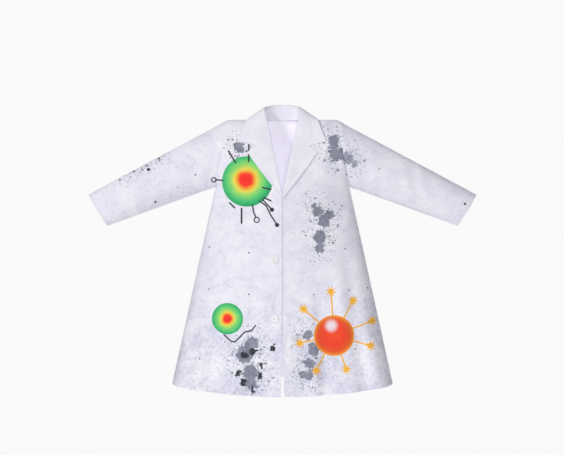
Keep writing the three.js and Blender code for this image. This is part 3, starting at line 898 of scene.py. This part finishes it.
def button_thread(name, drop, material):
    """Four strands a side over the button, and the wound shank under it."""
    paths = []
    top = BUTTON_LIFT + BUTTON_FLOOR
    t = np.linspace(0.0, 1.0, 12)
    for side in (-1.0, 1.0):
        for strand in (-1.5, -0.5, 0.5, 1.5):
            x = side * HOLE_OFFSET + strand * STRAND_PITCH * (0.5 + 0.5 * swell(t))
            y = HOLE_OFFSET * np.cos(math.pi * t)
            rise = 0.375 * swell(t) ** 0.5 * (1.0 - 0.15 * abs(strand))
            height = top - STRAND_SINK + STRAND_SINK * np.minimum(1.0, 3.0 * swell(t)) + rise
            paths.append(seated(np.stack([x, y, height], axis=-1), drop))
    strands = tubes_piece(name, paths, np.full(12, STRAND_RADIUS), material)
    t = np.linspace(0.0, 1.0, 90)
    angle = 2.0 * math.pi * SHANK_TURNS * t
    shank = vector(SHANK_RADIUS * np.cos(angle), SHANK_RADIUS * np.sin(angle), lerp(0.65, 1.65, t))
    radii = np.full(90, WOUND_RADIUS)
    return strands, tubes_piece(name + "_shank", [seated(shank, drop)], radii, material)


def stitch_paths(point_at, length):
    """Short raised stitches end to end along a line; point_at(distance, height) places them."""
    paths = []
    t = np.linspace(0.0, 1.0, len(STITCH_RADII))
    height = CLOTH / 2.0 - 0.22 + 0.3 * swell(t) ** 0.6
    for k in range(int(length / STITCH_PITCH)):
        start = k * STITCH_PITCH + 0.5 * (STITCH_PITCH - STITCH_LENGTH)
        paths.append(point_at(start + STITCH_LENGTH * t, height))
    return paths


def front_stitching(side, name, material):
    def on_front(x, z, height):
        place = front_point(x, z, side) + front_normal(x, z, side) * height[:, None]
        return place * np.array([side, 1.0, 1.0])

    def edge(distance, height):
        z = -BREAK_DROP - 6.0 - distance
        return on_front(front_edge(z) + EDGE_STITCH, z, height)

    def hem(distance, height):
        x = HEM_GAP / 2.0 + EDGE_STITCH + distance
        return on_front(x, front_hem(x) + HEM_FOLD - FOLD_STITCH, height)

    edge_length = FRONT_HEM_DROP - BREAK_DROP - HEM_FOLD - 4.0
    hem_length = HEM_HALF - HEM_GAP / 2.0 - EDGE_STITCH - 6.0
    paths = stitch_paths(edge, edge_length) + stitch_paths(hem, hem_length)
    return tubes_piece(name, paths, STITCH_RADII, material)


def back_stitching(name, material):
    reach = HEM_HALF - 6.0

    def hem(distance, height):
        x = distance - reach
        point = back_point(x, back_hem(x) + HEM_FOLD - FOLD_STITCH)
        point[:, 1] += height
        return point

    return tubes_piece(name, stitch_paths(hem, 2.0 * reach), STITCH_RADII, material)


def cuff_stitching(side, name, material):
    def cuff(distance, height):
        turn = distance / CUFF_ROUND * 2.0 * math.pi
        point = sleeve_wall(turn, CUFF_STITCH + 0.0 * turn, height, side)
        return point * np.array([side, 1.0, 1.0])

    return tubes_piece(name, stitch_paths(cuff, CUFF_ROUND), STITCH_RADII, material)


# ---- Materials ----


def shade(red, green, blue):
    """The light values of a colour given as it looks on a screen, 0 to 255."""
    values = []
    for level in (red, green, blue):
        c = level / 255.0
        values.append(c / 12.92 if c <= 0.04045 else ((c + 0.055) / 1.055) ** 2.4)
    return (*values, 1.0)


class Graph:
    """The nodes of one material or node group, added a step at a time."""

    def __init__(self, tree):
        self.tree = tree

    def node(self, kind, inputs, **settings):
        node = self.tree.nodes.new(kind)
        for key, value in settings.items():
            setattr(node, key, value)
        for key, value in inputs.items():
            self.feed(node.inputs[key], value)
        return node

    def feed(self, socket, value):
        if isinstance(value, bpy.types.NodeSocket):
            self.tree.links.new(value, socket)
        else:
            socket.default_value = value

    def math(self, operation, *values):
        inputs = dict(enumerate(values))
        return self.node("ShaderNodeMath", inputs, operation=operation).outputs[0]

    def times(self, *values):
        return self.math("MULTIPLY", *values)

    def minus(self, *values):
        return self.math("SUBTRACT", *values)

    def vector(self, operation, *values):
        inputs = dict(enumerate(values))
        node = self.node("ShaderNodeVectorMath", inputs, operation=operation)
        return node.outputs["Value" if operation in ("DISTANCE", "LENGTH", "DOT_PRODUCT") else 0]

    def split(self, value):
        return self.node("ShaderNodeSeparateXYZ", {"Vector": value}).outputs

    def ramp(self, value, low, high, bottom=0.0, top=1.0):
        inputs = {"Value": value, "From Min": low, "From Max": high, "To Min": bottom, "To Max": top}
        return self.node("ShaderNodeMapRange", inputs, interpolation_type="SMOOTHSTEP").outputs[0]

    def mix(self, factor, first, second):
        inputs = {0: factor, 6: first, 7: second}
        return self.node("ShaderNodeMix", inputs, data_type="RGBA").outputs[2]

    def noise_node(self, place, scale, detail, rough=0.5, warp=0.0):
        inputs = {"Vector": place, "Scale": scale, "Detail": detail}
        inputs.update({"Roughness": rough, "Distortion": warp})
        return self.node("ShaderNodeTexNoise", inputs)

    def noise(self, *settings):
        return self.noise_node(*settings).outputs[0]

    def bump(self, strength, depth, height, normal=None):
        inputs = {"Strength": strength, "Distance": depth * MM, "Height": height}
        if normal:
            inputs["Normal"] = normal
        return self.node("ShaderNodeBump", inputs).outputs[0]

    def colours(self, value, stops):
        node = self.node("ShaderNodeValToRGB", {"Fac": value})
        elements = node.color_ramp.elements
        while len(elements) < len(stops):
            elements.new(0.5)
        for element, (place, colour) in zip(elements, stops):
            element.position = place
            element.color = colour
        return node.outputs["Color"]


def new_material(name, values):
    """A material with its graph and shader, and values for some of the shader's sockets."""
    material = bpy.data.materials.new(name)
    material.use_nodes = True
    shader = material.node_tree.nodes["Principled BSDF"]
    for socket, value in values.items():
        shader.inputs[socket].default_value = value
    return material, Graph(material.node_tree), shader.inputs


def segment_group():
    """A node group: how far a point is from the straight line between two others."""
    tree = bpy.data.node_groups.new("distance to a stroke", "ShaderNodeTree")
    for name in ("Point", "From", "To"):
        tree.interface.new_socket(name, in_out="INPUT", socket_type="NodeSocketVector")
    tree.interface.new_socket("Distance", in_out="OUTPUT", socket_type="NodeSocketFloat")
    graph = Graph(tree)
    given = graph.node("NodeGroupInput", {}).outputs
    reach = graph.vector("SUBTRACT", given["To"], given["From"])
    away = graph.vector("SUBTRACT", given["Point"], given["From"])
    reached = graph.vector("DOT_PRODUCT", away, reach)
    along = graph.math("DIVIDE", reached, graph.vector("DOT_PRODUCT", reach, reach))
    held = graph.math("MINIMUM", graph.math("MAXIMUM", along, 0.0), 1.0)
    scaled = graph.node("ShaderNodeVectorMath", {0: reach, "Scale": held}, operation="SCALE")
    distance = graph.vector("DISTANCE", away, scaled.outputs[0])
    graph.node("NodeGroupOutput", {0: distance})
    return tree


STROKE_GROUP = segment_group()


def flat_place(x, z):
    """The print lies in a plane: across the coat, and up."""
    return (x, z, 0.0)


def distance_from(graph, point, x, z):
    return graph.vector("DISTANCE", point, flat_place(x, z))


def near_spots(graph, point, spots):
    """1 at the middle of the nearest spot, 0 at its rim; spots are (x, z, radius)."""
    field = -9.0
    for x, z, radius in spots:
        distance = distance_from(graph, point, x, z)
        closeness = graph.math("MULTIPLY_ADD", distance, -1.0 / radius, 1.0)
        field = graph.math("MAXIMUM", closeness, field)
    return field


def near_strokes(graph, point, strokes):
    """Distance outside the nearest stroke; a stroke is a half width and its points."""
    field = 999.0
    for half, corners in strokes:
        for first, second in zip(corners, corners[1:]):
            inputs = {"Point": point, "From": flat_place(*first), "To": flat_place(*second)}
            group = graph.node("ShaderNodeGroup", inputs, node_tree=STROKE_GROUP)
            field = graph.math("MINIMUM", graph.minus(group.outputs[0], half), field)
    return field


def inside(graph, distance, softness=0.5):
    return graph.ramp(distance, -softness, softness, 1.0, 0.0)


WEAVE_PITCH = 0.55
CLOTH_LOOK = {"Sheen Weight": 0.1, "Sheen Roughness": 0.45, "Specular IOR Level": 0.2}


def woven_base(name):
    """A cloth material with its weave, sheen and soft crumple, still without a colour."""
    material, graph, shader = new_material(name, CLOTH_LOOK)
    rest = graph.node("ShaderNodeAttribute", {}, attribute_name="rest").outputs["Vector"]
    threads = graph.node("ShaderNodeAttribute", {}, attribute_name="threads").outputs["Vector"]
    parts = graph.split(threads)
    pitch = 2.0 * math.pi / (WEAVE_PITCH * MM)
    warp, weft = (graph.math("SINE", graph.times(parts[k], pitch)) for k in (0, 1))
    weave = graph.times(warp, weft)
    uneven = graph.noise(graph.vector("MULTIPLY", threads, (900.0, 160.0, 1.0)), 1.0, 3.0)
    crumpled = graph.bump(0.35, 1.6, graph.noise(rest, 38.0, 3.0, 0.55, 0.4))
    slubbed = graph.bump(0.25, 0.1, uneven, crumpled)
    graph.feed(shader["Normal"], graph.bump(0.3, 0.08, weave, slubbed))
    graph.feed(shader["Roughness"], graph.ramp(uneven, 0.2, 0.8, 0.7, 0.88))
    return material, graph, shader, rest, uneven


def plain_cloth(name, light, dark, painted_glow=0.0):
    """White cloth; the last argument is the strength of an emission, a painted glow that stands in for
    the daylight coming through the cloth from behind.
    """
    material, graph, shader, rest, uneven = woven_base(name)
    cloudy = graph.noise(rest, 22.0, 3.0)
    base = graph.mix(graph.ramp(cloudy, 0.35, 0.7), light, dark)
    threads = graph.ramp(uneven, 0.3, 0.7, 0.0, 0.12)
    graph.feed(shader["Base Color"], graph.mix(threads, base, dark))
    # Painted glow: an emission in the cloth's own light tone, standing in for light that comes through
    # thin cloth.
    graph.feed(shader["Emission Color"], light)
    graph.feed(shader["Emission Strength"], painted_glow)
    return material


# Strength of the painted glow on the inside of the cloth, an emission standing in for light that comes
# through it.
PAINTED_GLOW_THROUGH_CLOTH = 0.14
COAT_WHITE = shade(249, 248, 255)
COAT_SHADE = shade(236, 235, 250)
WASH = shade(200, 200, 221)
WASH_AT_TOP = 0.6
WASH_AT_HEM = 0.62
WASH_DARK = shade(150, 153, 172)
SPLASH = shade(146, 149, 166)
SPLASH_DEEP = shade(118, 121, 139)
INK = shade(48, 50, 58)
RING_HALF = 1.6
GOLD = shade(252, 186, 48)


def cell(graph, point, base, place, core, lean):
    """A round cell: red core, yellow ring, green body and a darker green rim."""
    x, z, radius = place
    wobble = graph.noise(point, 0.05, 2.0)
    from_middle = distance_from(graph, point, x, z)
    from_core = distance_from(graph, point, x + lean[0], z + lean[1])
    outwards = graph.math("DIVIDE", from_core, radius)
    outwards = graph.math("MULTIPLY_ADD", graph.minus(wobble, 0.5), 0.16, outwards)
    stops = [
        (0.0, shade(255, 30, 22)),
        (core * 0.7, shade(255, 52, 28)),
        (core, shade(255, 158, 40)),
        (core * 1.32, shade(240, 224, 84)),
        (core * 1.75, shade(150, 224, 110)),
        (0.82, shade(78, 204, 120)),
        (1.0, shade(36, 172, 104)),
    ]
    mask = inside(graph, graph.minus(from_middle, radius))
    return graph.mix(mask, base, graph.colours(outwards, stops))


def speckles(graph, point, base, scale, size, chance_of_dot, colour, strength):
    """Round drops of random sizes, one in some of the cells of a random net."""
    inputs = {"Vector": point, "Scale": scale}
    cells = graph.node("ShaderNodeTexVoronoi", inputs, voronoi_dimensions="2D")
    chance = graph.node("ShaderNodeSeparateColor", {"Color": cells.outputs["Color"]})
    chosen = graph.math("LESS_THAN", chance.outputs[0], chance_of_dot)
    grown = graph.ramp(chance.outputs[1], 0.0, 1.0, 0.3 * size, size)
    dot = inside(graph, graph.minus(cells.outputs["Distance"], grown), 0.05)
    factor = graph.times(graph.times(dot, chosen), strength)
    return graph.mix(factor, base, colour)


def wandering(graph, point, scale, reach, rough=0.6):
    """The same place, pushed about by noise, for ragged outlines."""
    noise = graph.noise_node(point, scale, 4.0, rough)
    push, half = 2.0 * reach, -reach
    shift = graph.vector("MULTIPLY_ADD", noise.outputs[1], (push, push, 0.0), (half, half, 0.0))
    return graph.vector("ADD", point, shift), noise.outputs[0]


def splashes(graph, point, base, blobs, strength):
    """Grey blots with ragged rims, in clouds of fine speckles."""
    moved, tone = wandering(graph, point, 0.06, 18.0, 0.72)
    blot = near_spots(graph, moved, blobs)
    cloud = near_spots(graph, moved, [(x, z, 1.9 * radius + 30.0) for x, z, radius in blobs])
    cloud = graph.math("POWER", graph.math("MAXIMUM", cloud, 0.0), 1.6)
    patchy = graph.ramp(graph.noise(point, 0.045, 3.0, 0.6), 0.4, 0.62, 0.25, 1.0)
    cloud = graph.times(cloud, patchy)
    for scale, size, part in ((0.085, 0.3, 0.9), (0.17, 0.36, 1.1), (0.34, 0.42, 1.2)):
        chance = graph.times(cloud, part)
        base = speckles(graph, point, base, scale, size, chance, SPLASH_DEEP, 0.9 * strength)
    colour = graph.mix(graph.ramp(tone, 0.38, 0.62), SPLASH, SPLASH_DEEP)
    mask = graph.times(graph.ramp(blot, 0.0, 0.06), strength)
    return graph.mix(mask, base, colour)


def washed(graph, point, down):
    """White cloth with marbled lavender-grey washes that gather towards the hem."""
    marble = graph.noise(point, 0.012, 6.0, 0.7, 0.9)
    fine = graph.noise(point, 0.11, 5.0, 0.8, 0.4)
    both = graph.math("MULTIPLY_ADD", fine, 0.75, graph.times(marble, 0.5))
    above = graph.minus(both, graph.ramp(down, 0.0, 1.0, 0.66, 0.54))
    vein = graph.noise(point, 0.016, 5.0, 0.62, 1.6)
    vein = graph.math("ABSOLUTE", graph.minus(vein, 0.5))
    broken = graph.ramp(fine, 0.42, 0.6)
    vein = graph.times(graph.ramp(vein, 0.0, 0.022, 1.0, 0.0), broken)
    most = graph.ramp(down, 0.0, 1.0, WASH_AT_TOP, WASH_AT_HEM)
    amount = graph.times(graph.ramp(above, 0.0, 0.2), most)
    base = graph.mix(graph.ramp(marble, 0.3, 0.62), COAT_WHITE, COAT_SHADE)
    base = graph.mix(amount, base, WASH)
    base = graph.mix(graph.times(vein, 0.5), base, WASH)
    few = graph.math("MULTIPLY_ADD", down, 0.16, graph.times(amount, 0.3))
    return speckles(graph, point, base, 0.3, 0.26, few, WASH_DARK, 0.6)


def print_base(name):
    """Washed cloth, and its place in the print's plane in millimetres."""
    material, graph, shader, rest, uneven = woven_base(name)
    parts = graph.split(rest)
    across = graph.math("DIVIDE", parts[0], MM)
    height = graph.math("DIVIDE", parts[2], MM)
    point = graph.node("ShaderNodeCombineXYZ", {"X": across, "Y": height}).outputs[0]
    down = graph.ramp(height, -330.0, -690.0)
    return material, graph, shader, point, washed(graph, point, down), uneven


def finish_print(graph, shader, colour, uneven):
    worn = graph.ramp(uneven, 0.3, 0.75, 0.0, 0.05)
    graph.feed(shader["Base Color"], graph.mix(worn, colour, COAT_SHADE))


# The print, each spot as (x, z, radius) and each stroke as a half width and its points.
FRONT_BLOBS = [
    (133, -60, 15), (138, -92, 19), (168, -100, 15), (155, -84, 10),
    (-112, -72, 14), (82, -226, 9), (118, -248, 12),
    (92, -239, 14), (108, -263, 16), (96, -304, 18), (96, -333, 12),
    (-77, -577, 16), (-96, -603, 22), (-81, -649, 20), (-80, -681, 16),
    (64, -554, 12), (79, -590, 17), (68, -627, 15), (69, -658, 14), (52, -654, 9),
]
INK_SPOTS = [
    (-77, -595, 9), (-96, -606, 10), (-24, -586, 7), (-54, -632, 9), (-58, -658, 8),
    (-113, -655, 8), (-98, -672, 9), (-76, -694, 8),
]
DOTS = [
    (-189, -330, 2.2), (-86, -344, 2.4), (-189, -438, 2.2), (-86, -450, 2.2), (161, -334, 2.2),
    (171, -440, 2.2), (80, -451, 2.0), (220, -435, 2.2), (187, -591, 2.2), (-212, -616, 2.2),
]
BIG_CELL = (-91, -161, 65)
SMALL_CELL = (-141, -513, 40)
CUFF_HAIR = (1.9, [(-172, -156), (-154, -158)])
CELL_HAIRS = [
    CUFF_HAIR,
    (1.9, [(-77, -222), (-74, -240), (-68, -254)]),
    (1.9, [(-52, -207), (-40, -220), (-27, -234)]),
    (1.9, [(-58, -212), (-42, -224), (-30, -248), (-14, -273)]),
    (2.2, [(-139, -83), (-121, -112)]),
    (2.2, [(-87, -65), (-87, -109)]),
    (2.0, [(-136, -216), (-123, -229)]),
    (2.4, [(-105, -231), (-105, -268)]),
    (2.0, [(-51, -177), (-30, -182)]),
    (2.0, [(-48, -203), (-30, -211)]),
    (1.8, [(-150, -554), (-131, -571), (-121, -572), (-97, -547), (-79, -543), (-69, -530)]),
]
HAIR_ENDS = [(-27, -234, 6), (-14, -273, 6)]
RINGS = [(-178, -156, 5.5), (-66, -260, 6.5)]
GERM = (132, -556, 52)
# Each stalk of the germ as its direction in degrees and its reach.
STALKS = [(94, 113), (61, 102), (20, 106), (-16, 98), (-70, 92), (-117, 100), (-168, 90), (139, 104)]
STALK_FOOT = 40.0
STALK_HALF = 1.9
KNOB_FINGERS = 8.0
SLEEVE_BLOBS = [
    (138, -92, 19), (168, -100, 15), (186, -116, 8), (-321, -100, 3), (-352, -118, 2),
    (-382, -138, 2), (-410, -152, 2),
]
SLEEVE_INK = [
    (-347, -130, 4.6), (-385, -133, 3.2), (-225, -143, 2.2), (-271, -175, 1.8),
    (-329, -213, 3.0), (472, -218, 3.4), (-321, -100, 2.6), (250, -128, 1.8),
]
BACK_BLOBS = [
    (-118, -120, 16), (-140, -152, 12), (98, -210, 15), (120, -242, 18), (64, -330, 12),
    (-96, -470, 14), (-120, -500, 19), (-86, -540, 13), (126, -560, 18), (92, -596, 21),
    (140, -622, 14), (-60, -640, 16), (-150, -650, 12),
]
BACK_INK = [(-110, -508, 6), (118, -566, 7), (136, -600, 5), (-44, -250, 2), (60, -120, 2)]


def from_germ(angle, reach):
    return GERM[0] + reach * math.cos(angle), GERM[1] + reach * math.sin(angle)


def germ(graph, point, base):
    """A round orange germ with knobbed golden stalks."""
    x, z, radius = GERM
    strokes = []
    knobs = 999.0
    for turn, reach in STALKS:
        angle = math.radians(turn)
        tip = from_germ(angle, reach)
        strokes.append((STALK_HALF, [from_germ(angle, STALK_FOOT), tip]))
        away = graph.vector("SUBTRACT", point, flat_place(*tip))
        parts = graph.split(away)
        round_knob = graph.math("ARCTAN2", parts[1], parts[0])
        fingers = graph.math("COSINE", graph.math("MULTIPLY_ADD", round_knob, KNOB_FINGERS, angle))
        fingers = graph.math("POWER", graph.ramp(fingers, -1.0, 1.0), 3.0)
        rim = graph.math("MULTIPLY_ADD", fingers, 6.5, 7.0)
        distance = graph.minus(graph.vector("LENGTH", away), rim)
        knobs = graph.math("MINIMUM", knobs, distance)
    stalks = graph.math("MINIMUM", near_strokes(graph, point, strokes), knobs)
    base = graph.mix(inside(graph, stalks), base, GOLD)
    from_middle = distance_from(graph, point, x, z)
    stops = [
        (0.0, shade(255, 80, 26)),
        (0.5, shade(246, 62, 24)),
        (0.8, shade(240, 84, 26)),
        (0.93, shade(244, 132, 34)),
        (1.0, shade(252, 176, 60)),
    ]
    body = graph.colours(graph.math("DIVIDE", from_middle, radius), stops)
    glow = distance_from(graph, point, x - 7, z + 25)
    body = graph.mix(graph.ramp(glow, 6.0, 22.0, 0.92, 0.0), body, shade(246, 236, 240))
    return graph.mix(inside(graph, graph.minus(from_middle, radius)), base, body)


def drawn(graph, point, base, strokes, ends, rings):
    """Dark hairs of the cells, some with a knob or a ring at the end."""
    base = graph.mix(inside(graph, near_strokes(graph, point, strokes)), base, INK)
    for x, z, radius in rings:
        distance = distance_from(graph, point, x, z)
        band = graph.math("ABSOLUTE", graph.minus(distance, radius))
        base = graph.mix(inside(graph, graph.minus(band, RING_HALF)), base, INK)
    return graph.mix(graph.ramp(near_spots(graph, point, ends), 0.0, 0.15), base, INK)


def front_print(name):
    material, graph, shader, point, base, uneven = print_base(name)
    base = splashes(graph, point, base, FRONT_BLOBS, 0.95)
    ink = near_spots(graph, wandering(graph, point, 0.09, 17.0, 0.5)[0], INK_SPOTS)
    base = graph.mix(graph.ramp(ink, 0.0, 0.12), base, INK)
    base = graph.mix(graph.ramp(near_spots(graph, point, DOTS), 0.0, 0.3), base, INK)
    base = cell(graph, point, base, BIG_CELL, 0.35, (-3.0, 4.0))
    base = cell(graph, point, base, SMALL_CELL, 0.33, (0.0, 0.0))
    base = drawn(graph, point, base, CELL_HAIRS, HAIR_ENDS, RINGS)
    finish_print(graph, shader, germ(graph, point, base), uneven)
    return material


def splashed_print(name, blobs, spots, strength):
    """Splashes for back and sleeves, with the hair of the big cell that crosses the seam."""
    material, graph, shader, point, base, uneven = print_base(name)
    base = splashes(graph, point, base, blobs, strength)
    ink = near_spots(graph, wandering(graph, point, 0.13, 3.0)[0], spots)
    base = graph.mix(graph.ramp(ink, 0.0, 0.25), base, INK)
    base = drawn(graph, point, base, [CUFF_HAIR], HAIR_ENDS[:1], RINGS[:1])
    finish_print(graph, shader, base, uneven)
    return material


def button_plastic(name):
    look = {"Coat Weight": 0.25, "Coat Roughness": 0.15, "Subsurface Weight": 0.08}
    look["Subsurface Radius"] = (0.002, 0.002, 0.002)
    material, graph, shader = new_material(name, look)
    place = graph.node("ShaderNodeTexCoord", {}).outputs["Object"]
    cloudy = graph.noise(place, 260.0, 3.0)
    graph.feed(shader["Base Color"], graph.mix(cloudy, shade(247, 247, 247), shade(234, 235, 238)))
    scratches = graph.noise(graph.vector("MULTIPLY", place, (400.0, 400.0, 2600.0)), 1.0, 4.0)
    graph.feed(shader["Roughness"], graph.ramp(scratches, 0.3, 0.8, 0.2, 0.42))
    graph.feed(shader["Normal"], graph.bump(0.15, 0.05, scratches))
    return material


def sewing_thread(name):
    material, graph, shader = new_material(name, {"Sheen Weight": 0.3})
    place = graph.node("ShaderNodeTexCoord", {}).outputs["Object"]
    twist = graph.noise(graph.vector("MULTIPLY", place, (2600.0, 2600.0, 2600.0)), 1.0, 2.0)
    graph.feed(shader["Base Color"], graph.mix(twist, shade(250, 250, 252), shade(226, 226, 236)))
    graph.feed(shader["Normal"], graph.bump(0.4, 0.08, twist))
    graph.feed(shader["Roughness"], graph.ramp(twist, 0.2, 0.8, 0.55, 0.8))
    return material


# ---- The coat, piece by piece ----


def bend(piece):
    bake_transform(piece)


def dress_back(back, lining, thread):
    back_piece = back_cloth("back_cloth", [back, lining])
    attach(back_piece, "coat_body")
    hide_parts("back_panel")
    seam = back_stitching("back_hem_stitching", thread)
    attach(seam, "coat_body")


def dress_front(word, side, front, lining, plain, thread):
    cloth = front_cloth(side, f"{word}_front_cloth", [front, lining])
    bend(cloth)
    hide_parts(f"{word}_front", f"{word}_front_flap")

    facing = facing_cloth(side, f"{word}_front_facing", [plain, plain])
    bend(facing)
    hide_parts(f"{word}_facing")

    stitches = front_stitching(side, f"{word}_front_stitching", thread)
    bend(stitches)
    return cloth


def dress_sleeve(word, side, sleeve, lining, thread):
    sleeve_piece = sleeve_cloth(side, f"{word}_sleeve_cloth", [sleeve, lining])
    bend(sleeve_piece)
    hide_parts(f"{word}_sleeve_head", f"{word}_sleeve")
    cuff = cuff_stitching(side, f"{word}_cuff_stitching", thread)
    bend(cuff)


def dress_neck(word, side, plain):
    lapel = lapel_cloth(side, f"{word}_lapel_cloth", [plain, plain])
    bend(lapel)
    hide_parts(f"{word}_lapel_under", f"{word}_lapel_face")

    collar = collar_cloth(side, f"{word}_collar_cloth", [plain, plain])
    bend(collar)
    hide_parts(f"{word}_collar_leaf_under", f"{word}_collar_leaf_face")
    if side > 0:
        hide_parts("top_collar", "under_collar")

    stand = stand_cloth(side, f"{word}_collar_stand_cloth", [plain, plain])
    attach(stand, "coat_body")
    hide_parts(f"{word}_collar_stand")


def dress_buttons(plastic, thread):
    for name, drop in BUTTON_DROPS.items():
        button = button_piece(f"{name}_round_button", drop, plastic)
        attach(button, "right_flap")
        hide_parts(f"{name}_button")
        strands, shank = button_thread(f"{name}_button_strands", drop, thread)
        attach(strands, "right_flap")
        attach(shank, "right_flap")
        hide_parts(f"{name}_button_thread")


def dress():
    front = front_print("printed front cloth")
    back = splashed_print("printed back cloth", BACK_BLOBS, BACK_INK, 0.9)
    sleeve = splashed_print("printed sleeve cloth", SLEEVE_BLOBS, SLEEVE_INK, 0.8)
    inner_tones = shade(243, 240, 248), shade(236, 233, 245)
    # The inside of the cloth carries a painted glow, an emission that brightens it.
    lining = plain_cloth("inside of the cloth with painted glow", *inner_tones, PAINTED_GLOW_THROUGH_CLOTH)
    plain = plain_cloth("plain white cloth", shade(247, 246, 254), shade(239, 238, 251))
    thread = sewing_thread("white sewing thread")
    dress_back(back, lining, thread)
    for word, side in (("left", 1), ("right", -1)):
        cloth = dress_front(word, side, front, lining, plain, thread)
        dress_sleeve(word, side, sleeve, lining, thread)
        dress_neck(word, side, plain)
    dress_buttons(button_plastic("white button plastic"), thread)


# ---- Floor, light and camera, in metres ----

FLOOR_DROP = 1.08
FLOOR_RADIUS = 1.35
FLOOR_SIDES = 48
ROOM_LIGHT = 0.1
COAT_MIDDLE = (0.0, 0.0, -0.33)
CAMERA_PLACE = (-0.0013, -4.0, -0.2795)
SENSOR_WIDTH = 36.0  # in millimetres, as is the lens
LENS = 98.2
LAMPS = [  # name, place, side length in metres and power in watts
    ("key", (-2.4, -2.2, 1.6), 0.7, 58.0),
    ("front", (0.1, -3.6, 0.25), 0.8, 50.0),
    ("fill", (2.6, -2.0, 0.4), 1.6, 9.0),
    ("back", (0.8, 2.9, 1.2), 1.8, 60.0),
]


def floor():
    angles = np.arange(FLOOR_SIDES) * 2.0 * math.pi / FLOOR_SIDES
    rim = vector(FLOOR_RADIUS * np.cos(angles), FLOOR_RADIUS * np.sin(angles), -FLOOR_DROP)
    ground = plain_mesh("floor", rim, [list(range(FLOOR_SIDES))])
    look = {"Roughness": 0.9, "Emission Color": (1.0, 1.0, 1.0, 1.0), "Emission Strength": 0.24}
    material, graph, shader = new_material("pale floor", look)
    cloudy = graph.noise(graph.node("ShaderNodeTexCoord", {}).outputs["Object"], 3.0, 2.0)
    graph.feed(shader["Base Color"], graph.mix(cloudy, shade(250, 250, 250), shade(249, 249, 250)))
    ground.data.materials.append(material)


def soft_light(name, place, size, power):
    lamp = bpy.data.lights.new(name, "AREA")
    lamp.shape = "RECTANGLE"
    lamp.size = size
    lamp.size_y = size
    lamp.energy = power
    holder = bpy.data.objects.new(name, lamp)
    bpy.context.scene.collection.objects.link(holder)
    holder.location = place
    x, y, z = (b - a for a, b in zip(place, COAT_MIDDLE))
    holder.rotation_euler = (math.atan2(math.hypot(x, y), -z), 0.0, math.atan2(-x, y))


def studio():
    scene = bpy.context.scene
    world = bpy.data.worlds.new("pale studio")
    world.use_nodes = True
    background = world.node_tree.nodes["Background"]
    background.inputs["Color"].default_value = (0.955, 0.955, 0.96, 1.0)
    graph = Graph(world.node_tree)
    seen = graph.node("ShaderNodeLightPath", {}).outputs["Is Camera Ray"]
    graph.feed(background.inputs["Strength"], graph.ramp(seen, 0.0, 1.0, ROOM_LIGHT, 1.0))
    scene.world = world
    scene.view_settings.view_transform = "Standard"
    for lamp in LAMPS:
        soft_light(*lamp)
    camera = bpy.data.cameras.new("camera")
    camera.sensor_width = SENSOR_WIDTH
    camera.lens = LENS
    holder = bpy.data.objects.new("camera", camera)
    scene.collection.objects.link(holder)
    holder.location = CAMERA_PLACE
    holder.rotation_euler = (math.radians(90.0), 0.0, 0.0)
    scene.camera = holder


dress()
floor()
studio()
